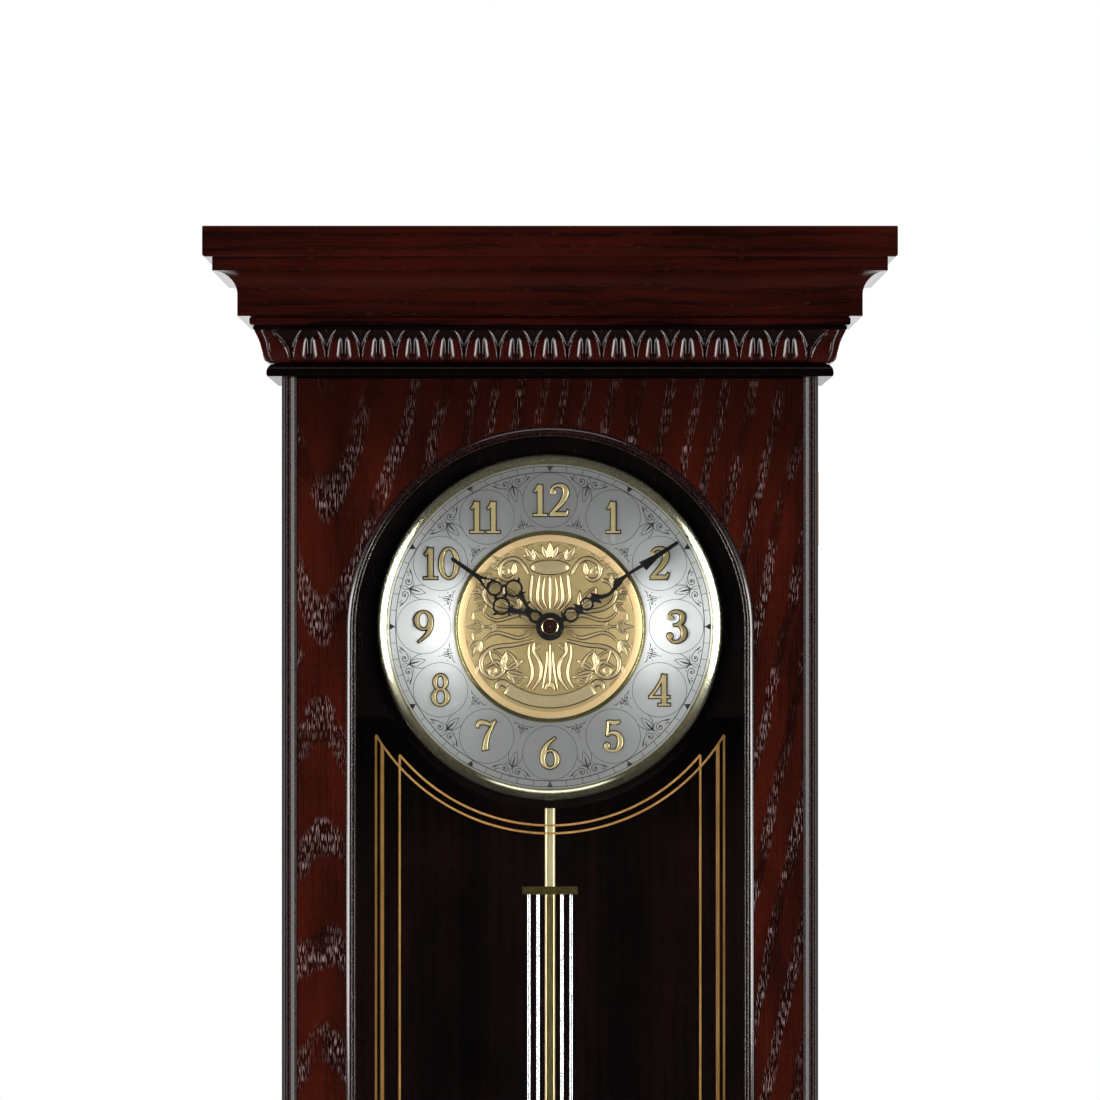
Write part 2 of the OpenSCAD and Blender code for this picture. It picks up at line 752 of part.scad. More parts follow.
// Gilt hour figures, each cut from sheet and fixed to the dial
module numerals() {
    tens_x = -4.4;
    units_x = [4.6, 3.6, 5];
    color("#c9a24a") slab(plate_front - numeral_t, plate_front) for (n = [1:12])
        translate([numeral_ring_r * sin(n * 30), dial_z + numeral_ring_r * cos(n * 30)])
        scale(numeral_h / figure_h) {
            if (n < 10) figure(n);
            if (n > 9) {
                translate([tens_x - 1, 0]) figure(1);
                translate([units_x[n - 10], 0]) figure(n - 10);
            }
        }
}

// A countersunk screw seated at y, its shank running to deeper
module wood_screw(x, z, y, way, len, head) {
    bar(x, z, min(y, y - way * screw_head_t), max(y, y - way * screw_head_t), head);
    bar(x, z, min(y, y + way * len), max(y, y + way * len), screw_r - snug);
}

// Steel screws of the dial board, case hinges, hanger, speaker and movement
module screws() {
    color("#8f8f8a") {
        board_screw_sites() wood_screw(0, 0, board_front + screw_head_t, 1, screw_len - screw_head_t,
            screw_head_r - 0.1);
        for (z = hinge_levels) for (s = [-1, 1])
            wood_screw(pin_x - hinge_screw_dx, z + s * hinge_screw_dz, -case_d + leaf_t, 1,
                screw_len - leaf_t, screw_head_r - 0.1);
        for (x = [-1, 1]) wood_screw(x * hanger_screw_x, 0, -hanger_t, -1,
            back_t + hang_rail_t / 2 - hanger_t, screw_head_r - 0.1);
        for (a = [45:90:315]) wood_screw(speaker_screw_r() * cos(a), speaker_z + speaker_screw_r() * sin(a),
            -back_t - speaker_rim_t, 1, speaker_rim_t + 2.5, screw_head_r);
        for (p = movement_posts()) wood_screw(p[0], dial_z + p[1], mov_rear - screw_head_t, -1,
            mov_d + 1 - screw_head_t, screw_head_r - 0.1);
    }
}
function movement_posts() = [for (x = [-1, 1]) for (z = [mov_up - post_inset, post_inset - mov_down])
    [x * (mov_w / 2 - post_inset), z]];

// Case halves of the two hinges, let into the front edge of the right side
module hinge_case_leaves() {
    color("#b08d3e") for (z = hinge_levels) {
        difference() {
            union() {
                block([pin_x - leaf_reach_x, -case_d, z - hinge_h / 2],
                    [case_half - snug, -case_d + leaf_t, z + hinge_h / 2]);
                for (s = [-1, 1]) {
                    block([case_half - 1, -case_d, z + s * (hinge_h + knuckle_h) / 4 - knuckle_quarter()],
                        [pin_x, -case_d + leaf_t, z + s * (hinge_h + knuckle_h) / 4 + knuckle_quarter()]);
                    translate([pin_x, pin_y, z + s * (hinge_h + knuckle_h) / 4])
                        cylinder(h = 2 * knuckle_quarter(), r = knuckle_r, center = true, $fn = 64);
                }
            }
            translate([pin_x, pin_y, z]) cylinder(h = hinge_h + 2, r = hinge_pin_r + run_clear, center = true,
                $fn = 64);
            for (s = [-1, 1]) bar(pin_x - hinge_screw_dx, z + s * hinge_screw_dz, -case_d - past,
                -case_d + leaf_t + past, screw_head_r);
        }
    }
}
function knuckle_quarter() = (hinge_h - knuckle_h) / 4 - knuckle_gap / 2;

// Door halves of the two hinges
module hinge_door_leaves() {
    color("#b08d3e") for (z = hinge_levels) {
        difference() {
            union() {
                block([pin_x - leaf_reach_x, door_back - leaf_t, z - hinge_h / 2],
                    [half - 1, door_back, z + hinge_h / 2]);
                block([case_half + 0.9, door_back - leaf_t, z - knuckle_h / 2 + knuckle_gap],
                    [half - 0.1, pin_y, z + knuckle_h / 2 - knuckle_gap]);
                translate([pin_x, pin_y, z]) cylinder(h = knuckle_h - 2 * knuckle_gap, r = knuckle_r,
                    center = true, $fn = 64);
            }
            translate([pin_x, pin_y, z]) cylinder(h = hinge_h, r = hinge_pin_r + run_clear, center = true,
                $fn = 64);
            for (s = [-1, 1]) bar(pin_x - hinge_screw_dx, z + s * hinge_screw_dz, door_back - leaf_t - past,
                door_back + past, screw_head_r);
        }
    }
}

// Hinge pins with small round heads
module hinge_pins() {
    color("#b08d3e") for (z = hinge_levels) translate([pin_x, pin_y, z]) {
        cylinder(h = hinge_h, r = hinge_pin_r, center = true, $fn = 64);
        for (s = [-1, 1]) translate([0, 0, s * (hinge_h / 2 + 0.6)])
            cylinder(h = 1.2, r = knuckle_r - 0.7, center = true, $fn = 64);
    }
}

// Screws that hold the hinges to the door
module hinge_door_screws() {
    color("#8f8f8a") for (z = hinge_levels) for (s = [-1, 1])
        wood_screw(pin_x - hinge_screw_dx, z + s * hinge_screw_dz, door_back - leaf_t, -1,
            screw_len - leaf_t, screw_head_r - 0.1);
}

// Magnet that keeps the door shut, fixed inside the left side
module catch_magnet() {
    color("#d8d4c8") block([-inner_half, -case_d + gap, catch_z - catch_h / 2],
        [-inner_half + catch_w, -case_d + gap + catch_t, catch_z + catch_h / 2]);
}

// Steel keeper let into the back of the door
module catch_plate() {
    color("#8f8f8a") block([-inner_half + 1, door_back - keeper_t, catch_z - catch_h / 2 + 2],
        [-inner_half + catch_w - 1, door_back, catch_z + catch_h / 2 - 2]);
}

// Steel plate let into the back, with the bore and slot that hang the clock
module hanger_plate() {
    color("#8f8f8a") difference() {
        block([-hanger_plate_w / 2 + snug, -hanger_t, -hanger_plate_low + snug],
            [hanger_plate_w / 2 - snug, 0, hanger_plate_high - snug]);
        bar(0, 0, -hanger_t - past, past, hanger_r);
        slab(-hanger_t - past, past) {
            translate([-hanger_slot / 2, 0]) square([hanger_slot, hanger_slot_len]);
            translate([0, hanger_slot_len]) circle(hanger_slot / 2, $fn = 48);
        }
        for (x = [-1, 1]) bar(x * hanger_screw_x, 0, -hanger_t - past, past, screw_head_r);
    }
}

// Veneered door with its arched window, rebated behind for the glass
module door_panel() {
    color("#5c1a10") difference() {
        block([-half + edge_trim_w, front, door_low_z], [half - edge_trim_w, door_back, door_top_z]);
        slab(front - past, door_back + past) window(trim_r);
        slab(glass_front, door_back + past) window(glass_r + snug);
        for (z = hinge_levels) {
            block([pin_x - leaf_reach_x - leaf_clear, door_back - leaf_t, z - hinge_h / 2 - leaf_clear],
                [half, door_back + past, z + hinge_h / 2 + leaf_clear]);
            for (s = [-1, 1]) bar(pin_x - hinge_screw_dx, z + s * hinge_screw_dz,
                door_back - screw_len - snug, door_back, screw_r);
        }
        block([-inner_half + 1 - leaf_clear, door_back - keeper_t, catch_z - catch_h / 2 + 2 - leaf_clear],
            [-inner_half + catch_w - 1 + leaf_clear, door_back + past, catch_z + catch_h / 2 - 2 + leaf_clear]);
    }
}

// Moulded strips on the door's two upright edges
module door_edge_strips() {
    w = edge_trim_w;
    color("#3c130d") for (side = [0, 1]) mirror([side, 0, 0]) difference() {
        translate([half, 0, door_low_z]) linear_extrude(door_top_z - door_low_z) {
            translate([-w, front]) square([w - 3, door_t]);
            translate([-3.5, front + 3]) square([3.5, door_t - 3]);
            translate([-3, front + 3]) circle(3, $fn = 96);
            translate([-5.6, front + 0.5]) circle(1.1, $fn = 48);
        }
        for (z = hinge_levels) block([0, door_back - leaf_t, z - hinge_h / 2 - leaf_clear],
            [half + past, door_back + past, z + hinge_h / 2 + leaf_clear]);
    }
}

// Raised moulding all round the window
module arch_moulding() {
    color("#3c130d") difference() {
        union() {
            slab(front, glass_front) window(trim_r - snug);
            slab(front - arch_trim_rise, front) window(trim_r - 0.8);
        }
        slab(front - 2 * past, glass_front + past) window(arch_r);
        slab(front - 2 * past, front + 0.9) window(arch_r + 1.3);
    }
}

// Pane of clear glass
module door_glass() {
    color([0.8, 0.85, 0.85, 0.3]) slab(glass_front, glass_back) window(glass_r);
}

// Beads that hold the glass in its rebate
module glass_beads() {
    color("#2c0f0a") difference() {
        slab(glass_back, door_back - snug) window(glass_r);
        slab(glass_back - past, door_back + past) window(arch_r + arch_trim_w - 1);
    }
}

// Front plate of the movement, with its threaded bush through the dial board
module movement_front() {
    color("#2b2b2d") difference() {
        union() {
            slab(mov_front, mov_in) translate([0, dial_z]) {
                translate([-mov_w / 2, -mov_down]) square([mov_w, mov_up + mov_down]);
                translate([-tongue_w / 2, -pivot_drop - 20]) square([tongue_w, pivot_drop]);
            }
            bar(0, dial_z, bush_end, mov_in, bush_r);
            bar(0, dial_z + train_d, mov_in, mesh_y[1] + 0.4, arbor_r);
        }
        bar(0, dial_z, bush_end - past, mov_in + past, pipe_r + run_clear);
        bar(set_x, dial_z + set_up, mov_in - 1.2, mov_in + past, arbor_r - 0.2 + run_clear);
        for (p = movement_posts()) bar(p[0], dial_z + p[1], mov_in - 1.4, mov_in + past, screw_r);
    }
}

// Hexagonal nut and washer that clamp the movement to the dial
module bush_nut() {
    color("#c0a050") {
        turned(medal_front, dial_z) translate([bush_r + snug, 0])
            square([washer_r - bush_r - snug, washer_t]);
        difference() {
            slab(medal_front - washer_t - nut_t, medal_front - washer_t) translate([0, dial_z])
                circle(nut_r, $fn = 6);
            bar(0, dial_z, medal_front - 5 * past, medal_front, bush_r + snug);
        }
    }
}

// Rear case of the movement, with the battery tray, rails, posts and the pendulum's ears
module movement_rear() {
    color("#1f1f21") difference() {
        union() {
            difference() {
                slab(mov_in, mov_rear) translate([-mov_w / 2, dial_z - mov_down])
                    square([mov_w, mov_up + mov_down]);
                slab(mov_in - past, mov_inner_rear)
                    translate([-mov_w / 2 + mov_wall, dial_z - mov_down + mov_wall]) square([mov_w - 2 * mov_wall, mov_up + mov_down - 2 * mov_wall]);
            }
            tray_box(tray_wall, mov_in + 0.2, mov_inner_rear + snug);
            for (p = movement_posts()) bar(p[0], dial_z + p[1], mov_in, mov_rear, screw_head_r + 0.4);
            for (x = [-1, 1]) bar(x * board_post_x, dial_z + control_up, circuit_y + circuit_t,
                mov_inner_rear + snug, post_r);
            cover_rail(dial_z + tray_high + cover_lap + gap, 1);
            cover_rail(dial_z + tray_low - cover_lap - gap, -1);
            pivot_ears();
        }
        tray_box(0, mov_in + 1, mov_rear + past);
        bar(0, dial_z, mov_in - past, hour_y[1] + gap, m_hour * (hour_n / 2 + tip_share) + gap);
        bar(set_x, dial_z + set_up, mov_in, mov_rear + past, arbor_r + 0.5 + run_clear);
        bar(dial_knob_x, dial_z + control_up, mov_inner_rear - past, mov_rear + past,
            arbor_r + 1 + run_clear);
        slab(mov_inner_rear - past, mov_rear + past) translate([select_x - 6, dial_z + control_up - 1.8])
            square([12, 3.6]);
        for (p = movement_posts()) bar(p[0], dial_z + p[1], mov_in - past, mov_rear + past, screw_r);
        for (p = movement_posts()) bar(p[0], dial_z + p[1], mov_rear - screw_head_t, mov_rear + past,
            screw_head_r);
        bar(0, pivot_z, -pend_y - ear_gap, mov_rear + 6, pivot_r + snug);
    }
}
module tray_box(wall, y0, y1) {
    slab(y0, y1) translate([-tray_half - wall, dial_z + tray_low - wall])
        square([2 * (tray_half + wall), tray_high - tray_low + 2 * wall]);
}
module cover_rail(z, way) {
    low = min(z, z + way * rail_w);
    high = max(z, z + way * rail_w);
    lip_low = way > 0 ? low - cover_lap : low;
    lip_high = way > 0 ? high : high + cover_lap;
    block([-tray_half - 3, mov_rear - snug, low], [tray_half + 3, lip_y + lip_t, high]);
    block([-tray_half - 3, lip_y, lip_low], [tray_half + 3, lip_y + lip_t, lip_high]);
}
module pivot_ears() {
    for (y = [-pend_y - ear_gap / 2 - ear_t, -pend_y + ear_gap / 2])
        slab(y, y + ear_t) {
            translate([-hanger_w / 2, pivot_z]) square([hanger_w, pivot_drop - mov_down + rail_w]);
            translate([0, pivot_z]) circle(hanger_w / 2, $fn = 64);
        }
}

// Sealed stepping motor with its reduction wheels, which also holds the rear pivot of the minute shaft
module motor_module() {
    color("#3a4a6a") difference() {
        block([-38, module_y, dial_z - 7], [6, mov_inner_rear, dial_z + 14]);
        bar(0, dial_z, module_y - past, module_y + 2, arbor_r + run_clear);
        bar(-motor_d, dial_z, module_y - past, module_y + 2.5, arbor_r / 2 + run_clear);
    }
}

// Circuit board with its chip, volume control and selector body
module circuit_board() {
    color("#2f6a3c") difference() {
        union() {
            slab(circuit_y, circuit_y + circuit_t) translate([-mov_w / 2 + 4, dial_z + board_low])
                square([mov_w - 8, mov_up - mov_wall - board_low - 0.4]);
            block([-20, circuit_y - 2, dial_z + 25], [-8, circuit_y, dial_z + 33]);
            bar(dial_knob_x, dial_z + control_up, circuit_y + circuit_t, circuit_y + circuit_t + 1.2, 5.5);
            block([select_x - 7, circuit_y + circuit_t, dial_z + control_up - 3],
                [select_x + 7, circuit_y + circuit_t + 0.8, dial_z + control_up + 3]);
        }
        for (p = movement_posts()) bar(p[0], dial_z + p[1], circuit_y - past, circuit_y + circuit_t + past,
            screw_head_r + 0.6);
        bar(set_x, dial_z + set_up, circuit_y - past, circuit_y + circuit_t + past, arbor_r + 1.2);
    }
}

// Two cells lying in the tray
module battery_cells() {
    color("#b8862b") for (z = [cell_low, cell_high]) translate([-cell_len / 2, cell_y, dial_z + z])
        rotate([0, 90, 0]) cylinder(h = cell_len, r = cell_r, $fn = 96);
}

// Sprung contacts at both ends of the cells
module battery_contacts() {
    color("#c9c9c4") for (side = [0, 1]) mirror([side, 0, 0]) for (z = [cell_low, cell_high]) {
        block([tray_half - contact_t, cell_y - 5, dial_z + z - 5], [tray_half, cell_y + 5, dial_z + z + 5]);
        translate([cell_len / 2, cell_y, dial_z + z]) rotate([0, 90, 0])
            cylinder(h = spring_h + snug, r1 = 2, r2 = 4, $fn = 48);
    }
}

// Coil that drives the pendulum
module drive_coil() {
    color("#a8562a") difference() {
        bar(0, magnet_z, mov_in, mov_in + coil_t, coil_r);
        bar(0, magnet_z, mov_in + 1, mov_in + coil_t + past, 2.5);
    }
}

// Steel pin that the pendulum swings on
module pendulum_pivot() {
    color("#b9b9b4") bar(0, pivot_z, -pend_y - ear_gap / 2 - ear_t, -pend_y + ear_gap / 2 + ear_t, pivot_r);
}

// Loudspeaker on the back panel: frame, cone and magnet
module speaker() {
    color("#262626") {
        translate([0, -back_t, speaker_z]) rotate([90, 0, 0]) rotate_extrude($fn = 120) {
            polygon([[speaker_r - 3, 0], [speaker_r, 0], [speaker_r, speaker_rim_t],
                [speaker_r - 2, speaker_rim_t], [speaker_magnet_r, basket_d], [0, basket_d], [0, basket_d - 1.2],
                [speaker_magnet_r - 1, basket_d - 1.2], [speaker_r - 3.4, speaker_rim_t - 0.6]]);
        }
        difference() {
            bar(0, speaker_z, -back_t - speaker_rim_t, -back_t, speaker_r + 6);
            bar(0, speaker_z, -back_t - 2 * speaker_rim_t, past, speaker_r);
            for (a = [45:90:315]) bar(speaker_screw_r() * cos(a), speaker_z + speaker_screw_r() * sin(a),
                -back_t - 2 * speaker_rim_t, past, screw_r);
        }
        bar(0, speaker_z, -back_t - basket_d - speaker_magnet_t, -back_t - basket_d, speaker_magnet_r);
        translate([0, -back_t, speaker_z]) rotate([90, 0, 0]) rotate_extrude($fn = 96)
            polygon([[0, 3.4], [7, 5.4], [speaker_r - 4.5, 0.3], [speaker_r - 3, 0.3], [speaker_r - 3, 1],
                [speaker_r - 4.5, 1], [7, 6.1], [0, 4.1]]);
    }
}

// Turns a shape by a clock angle about the hand axis
module clockwise(angle) {
    translate([0, dial_z]) rotate(-angle) children();
}
module ring(x, z, r, w) {
    translate([x, z]) difference() {
        circle(r, $fn = 48);
        circle(r - w, $fn = 48);
    }
}

// Pierced minute hand, two rings between spurred knots, a wavy stem and a long blade
module minute_hand() {
    k = minute_len / 84;
    color("#141414") slab(minute_back - hand_t, minute_back) clockwise(minute_angle) difference() {
        union() {
            circle(hub_r - 0.8, $fn = 64);
            stroke([[0.2, 5.5, 4], [0.6, 8, 3], [0.8, 10 * k, 3.2]]);
            stroke([[-3.6, 9.6 * k, 0.5], [-1.8, 9.4 * k, 1.6], [1, 9.6 * k, 2]]);
            ring(0.9, 13.2 * k, 4.3, 1.3);
            stroke([[0.9, 16.4 * k, 3.4], [0.8, 18.4 * k, 5.6], [0.8, 20.4 * k, 3]]);
            stroke([[-3.4, 17.4 * k, 0.5], [-1, 18.6 * k, 2.2], [2.4, 18.6 * k, 2.2], [5, 19.8 * k, 0.5]]);
            ring(0.8, 23.7 * k, 3.8, 1.2);
            stroke([[0.7, 26.8 * k, 3], [0.6, 29.2 * k, 5], [1.2, 31.6 * k, 3]]);
            stroke([[-3.2, 28.6 * k, 0.5], [-1, 29.4 * k, 2], [2.4, 29.6 * k, 2], [4.8, 30.8 * k, 0.5]]);
            stroke([[1.2, 31 * k, 2.8], [2.6, 34.4 * k, 2.2], [2.9, 37.6 * k, 1.9], [1.9, 41 * k, 2.4],
                [0.3, 44.4 * k, 4.2], [-0.2, 47.6 * k, 2.4], [-0.4, 53 * k, 1.8], [-0.1, 61 * k, 2]]);
            stroke([[0.4, 44.6 * k, 1.8], [-1.6, 44.2 * k, 1.4], [-3, 43.2 * k, 0.4]]);
            polygon([[0.2, 60.4 * k], [3.4, 60.8 * k], [1.4, 69.6 * k], [1.1, 76 * k], [1, 83 * k],
                [0.5, 84 * k], [-0.5, 84 * k], [-1, 83 * k], [-1.1, 76 * k], [-1.4, 69.2 * k],
                [-2.6, 59.8 * k]]);
        }
        circle(shaft_r + snug, $fn = 48);
    }
}

// Pierced hour hand, with paired rings on scrolled arms, a third ring and a long tip
module hour_hand() {
    k = hour_len / 66;
    angle = hour_passed * 30 + minute_angle / 12;
    color("#141414") slab(hour_back - hand_t, hour_back) clockwise(angle) difference() {
        union() {
            circle(hub_r, $fn = 64);
            stroke([[0, 12.4 * k, 1.6], [0, 14.6 * k, 3], [0, 16.8 * k, 1.4]]);
            stroke([[-1.8, 29.7 * k, 1.4], [0, 29.9 * k, 2], [1.8, 29.7 * k, 1.4]]);
            for (side = [0, 1]) mirror([side, 0]) {
                stroke([[1.5, 6 * k, 2.4], [3, 9.6 * k, 1.5], [1.6, 13.4 * k, 1.9], [2, 16.8 * k, 1.8],
                    [3.5, 20 * k, 2.4], [4.9, 23 * k, 3.4], [5, 24.6 * k, 1.6]]);
                stroke([[1.8, 23.9 * k, 0.5], [3.6, 23.2 * k, 1.6], [6.2, 22.9 * k, 1.6], [8, 21.8 * k, 0.5]]);
                stroke([[2.6, 17.6 * k, 1.6], [4.2, 17.2 * k, 1.2], [5.2, 16 * k, 0.4]]);
                ring(5.9, 28.3 * k, 5, 1.25);
                stroke([[4.9, 32.4 * k, 2], [3, 34.6 * k, 1.8]]);
                stroke([[10.4, 28.4 * k, 1.6], [11.6, 28.8 * k, 1.3], [12.4, 29.8 * k, 0.5]]);
            }
            ring(0, 37 * k, 4.4, 1.25);
            difference() {
                polygon([[4.3, 38 * k], [0.9, 48.5 * k], [-0.9, 48.5 * k], [-4.3, 38 * k]]);
                polygon([[2.4, 41.2 * k], [0, 46 * k], [-2.4, 41.2 * k], [0, 41.9 * k]]);
                translate([0, 37 * k]) circle(3.6, $fn = 48);
            }
            polygon([[1.5, 45.6 * k], [1.2, 50 * k], [1.1, 64.8 * k], [0.5, 66 * k], [-0.5, 66 * k],
                [-1.1, 64.8 * k], [-1.2, 50 * k], [-1.5, 45.6 * k]]);
        }
        circle(pipe_r + snug, $fn = 48);
    }
}

// Closed cap nut on the end of the minute shaft
module hand_nut() {
    color("#5a2418") difference() {
        turned(minute_back - hand_t, dial_z) polygon([[0, 0], [cap_r, 0], [cap_r, 0.8], [cap_r - 0.7, 1.2],
            [cap_r - 0.9, 1.6], [cap_r - 1.6, cap_h - 0.3], [0, cap_h]]);
        bar(0, dial_z, minute_back - hand_t - 1.5, minute_back, shaft_r + snug);
    }
}

// Minute shaft with its cannon pinion and the driven wheel
module minute_shaft() {
    color("#c9b26a") {
        bar(0, dial_z, minute_back - hand_t - 1.4, module_y - 0.2, shaft_r);
        bar(0, dial_z, module_y - 0.4, module_y + 1.6, arbor_r);
        gear(m_hand, cannon_n, 0, 0, mesh_y, 90);
        gear(m_drive, drive_n, 0, 0, drive_y, 180);
    }
}

// Hour wheel with the pipe that carries the hour hand
module hour_wheel() {
    color("#e6e2d6") difference() {
        union() {
            gear(m_hour, hour_n, 0, 0, hour_y, 90 + 180 / hour_n);
            bar(0, dial_z, hour_back - hand_t - 0.2, hour_y[1], pipe_r);
        }
        bar(0, dial_z, hour_back - 5 * past, hour_y[1] + past, shaft_r + run_clear);
    }
}

// Minute wheel with its pinion, on a post of the front plate
module minute_wheel() {
    color("#e6e2d6") difference() {
        union() {
            gear(m_hand, wheel_n, 0, train_d, wheel_y, -90 + 180 / wheel_n);
            gear(m_hour, pinion_n, 0, train_d, [hour_y[0] - 0.1, wheel_y[0] + snug], -90);
        }
        bar(0, dial_z + train_d, mov_in, wheel_y[1] + past, arbor_r + run_clear);
    }
}

// Output pinion of the sealed motor
module motor_pinion() {
    color("#e6e2d6") {
        gear(m_drive, motor_n, -motor_d, 0, [drive_y[0] - 0.2, drive_y[1] + 0.3], 180 / motor_n);
        bar(-motor_d, dial_z, drive_y[1], module_y + 2.2, arbor_r / 2);
    }
}

// Knob at the rear that sets the hands, on the shaft of its own pinion
module set_knob() {
    color("#d9d5ca") {
        gear(m_hand, set_n, set_x, set_up, mesh_y, 180 + set_dir);
        bar(set_x, dial_z + set_up, mov_in - 1, mesh_y[0] + 0.2, arbor_r - 0.2);
        bar(set_x, dial_z + set_up, mesh_y[1] - 0.2, mov_rear + gap + 1, arbor_r + 0.5);
        difference() {
            bar(set_x, dial_z + set_up, mov_rear + gap, mov_rear + gap + 5, 7);
            for (a = [0:20:340]) bar(set_x + 7.6 * cos(a), dial_z + set_up + 7.6 * sin(a),
                mov_rear + gap - past, mov_rear + gap + 5 + past, 0.9);
        }
    }
}

// Lever that hangs on the pivot pin and carries the magnet and the rod
module pendulum_hanger() {
    color("#d9d5ca") difference() {
        slab(hanger_front, hanger_back) {
            translate([-hanger_w / 2, hanger_foot]) square([hanger_w, pivot_z - hanger_foot]);
            translate([0, pivot_z]) circle(hanger_w / 2, $fn = 64);
        }
        bar(0, pivot_z, hanger_front - past, hanger_back + past, pivot_r + run_clear);
        bar(0, magnet_z, hanger_front - past, hanger_front + magnet_t, magnet_r + snug);
        block([-strip_w / 2 - snug, -pend_y - strip_t / 2 - snug, hanger_foot - past],
            [strip_w / 2 + snug, -pend_y + strip_t / 2 + snug, hanger_foot + hook_depth]);
    }
}

// Magnet that swings past the coil
module drive_magnet() {
    color("#9a9a98") bar(0, magnet_z, hanger_front, hanger_front + magnet_t, magnet_r);
}

// Brass strip from the lever down to the threaded end
module pendulum_rod() {
    edge = 0.9;
    low = bob_z - bob_r - gap;
    color("#b8a468") {
        block([-strip_w / 2, -pend_y - strip_t / 2, low], [strip_w / 2, -pend_y + strip_t / 2,
            hanger_foot + hook_depth]);
        for (side = [0, 1]) mirror([side, 0, 0])
            for (span = [[upper_bar_z + bar_h / 2 + snug, hanger_foot], [lower_bar_z + bar_h / 2 + snug,
                upper_bar_z - bar_h / 2 - snug], [bob_z + bob_r + gap, lower_bar_z - bar_h / 2 - snug]])
                block([strip_w / 2 - edge, -pend_y - strip_t / 2 - 0.7, span[0]],
                    [strip_w / 2, -pend_y - strip_t / 2, span[1]]);
        translate([0, -pend_y, low - thread_len]) cylinder(h = thread_len + 0.5, r = thread_r, $fn = 48);
    }
}

// Brass crossbars that hold the silver rods
module crossbars() {
    color("#c9a24a") for (z = [upper_bar_z, lower_bar_z]) difference() {
        block([-bar_w / 2, -pend_y - bar_t / 2, z - bar_h / 2],
            [bar_w / 2, -pend_y + bar_t / 2, z + bar_h / 2]);
        block([-strip_w / 2 - snug, -pend_y - strip_t / 2 - snug, z - bar_h], [strip_w / 2 + snug,
            -pend_y + strip_t / 2 + snug, z + bar_h]);
        way = z == upper_bar_z ? -1 : 1;
        for (x = rod_places()) translate([x, -pend_y, z + way * (bar_h / 2 - socket / 2 + past / 2)])
            cylinder(h = socket + past, r = rod_r + snug, center = true, $fn = 48);
    }
}
function rod_places() = [-rod_out, -rod_in, rod_in, rod_out];

// Four silver rods between the crossbars
module silver_rods() {
    low = lower_bar_z + bar_h / 2 - socket;
    high = upper_bar_z - bar_h / 2 + socket;
    color("#c8c8c8") for (x = rod_places()) translate([x, -pend_y, low]) cylinder(h = high - low, r = rod_r,
        $fn = 48);
}

// Domed brass shell of the bob, open behind
module bob_shell() {
    color("#c9a24a") difference() {
        translate([0, bob_back_y, bob_z]) rotate([90, 0, 0]) rotate_extrude($fn = 180) difference() {
            intersection() {
                square([bob_r, bob_back_y - bob_face_y + past]);
                union() {
                    translate([0, bob_back_y - bob_face_y - dome_r]) circle(dome_r, $fn = 720);
                    square([bob_r, bob_back_y - bob_rim_y]);
                }
            }
            intersection() {
                translate([0, -past]) square([bob_r - bob_wall, bob_back_y - bob_face_y + past]);
                union() {
                    translate([0, bob_back_y - bob_face_y - dome_r]) circle(dome_r - bob_wall, $fn = 720);
                    translate([0, -past]) square([bob_r, bob_back_y - bob_rim_y - bob_wall + past]);
                }
            }
        }
        strip_slot(bob_r + past);
    }
}
module strip_slot(reach) {
    block([-strip_w / 2 - 0.2, -pend_y - strip_t / 2 - 0.2, bob_z - reach],
        [strip_w / 2 + 0.2, -pend_y + strip_t / 2 + 0.2, bob_z + reach]);
}

// Steel weight and cover inside the bob, slotted for the strip
module bob_weight() {
    inner = bob_rim_y - bob_dome + bob_wall + dome_r - bob_wall
        - sqrt((dome_r - bob_wall) * (dome_r - bob_wall) - weight_r * weight_r);
    color("#6a6a68") difference() {
        union() {
            bar(0, bob_z, inner, bob_back_y, weight_r);
            bar(0, bob_z, bob_back_y - 1, bob_back_y, bob_r - bob_wall - snug);
        }
        strip_slot(bob_r + past);
    }
}

// Knurled nut that carries the bob and sets the rate
module rating_nut() {
    color("#c9a24a") translate([0, -pend_y, bob_z - bob_r - gap - rating_h]) difference() {
        cylinder(h = rating_h, r = rating_r, $fn = 64);
        translate([0, 0, -past]) cylinder(h = rating_h + 2 * past, r = thread_r + snug, $fn = 48);
        for (a = [0:24:336]) rotate(a) translate([rating_r + 0.3, 0, -past])
            cylinder(h = rating_h + 2 * past, r = 0.7, $fn = 16);
    }
}

// Cover that slides over the battery tray
module battery_cover() {
    color("#2b2b2d") {
        block([-tray_half - 2, cover_y, dial_z + tray_low - cover_lap],
            [tray_half + 2, cover_y + cover_t, dial_z + tray_high + cover_lap]);
        for (k = [0:3]) block([tray_half - 12 + k * 2.4, cover_y + cover_t - snug, dial_z - 30],
            [tray_half - 11 + k * 2.4, cover_y + cover_t + 0.6, dial_z - 20]);
    }
}

// Volume knob on the movement's rear
module volume_dial() {
    color("#d9d5ca") difference() {
        union() {
            bar(dial_knob_x, dial_z + control_up, circuit_y + circuit_t + 1.5, mov_rear + gap + 1, arbor_r + 1);
            bar(dial_knob_x, dial_z + control_up, mov_rear + gap, mov_rear + gap + 3, 6);
        }
        block([dial_knob_x - 0.6, mov_rear + gap + 2, dial_z + control_up], [dial_knob_x + 0.6,
            mov_rear + gap + 4, dial_z + control_up + 7]);
    }
}

// Slide that selects chime, strike or silence
module chime_selector() {
    color("#d9d5ca") {
        block([select_x - 5.5, circuit_y + circuit_t + 1.1, dial_z + control_up - 1.5],
            [select_x - 2.5, mov_rear + 2, dial_z + control_up + 1.5]);
    }
}

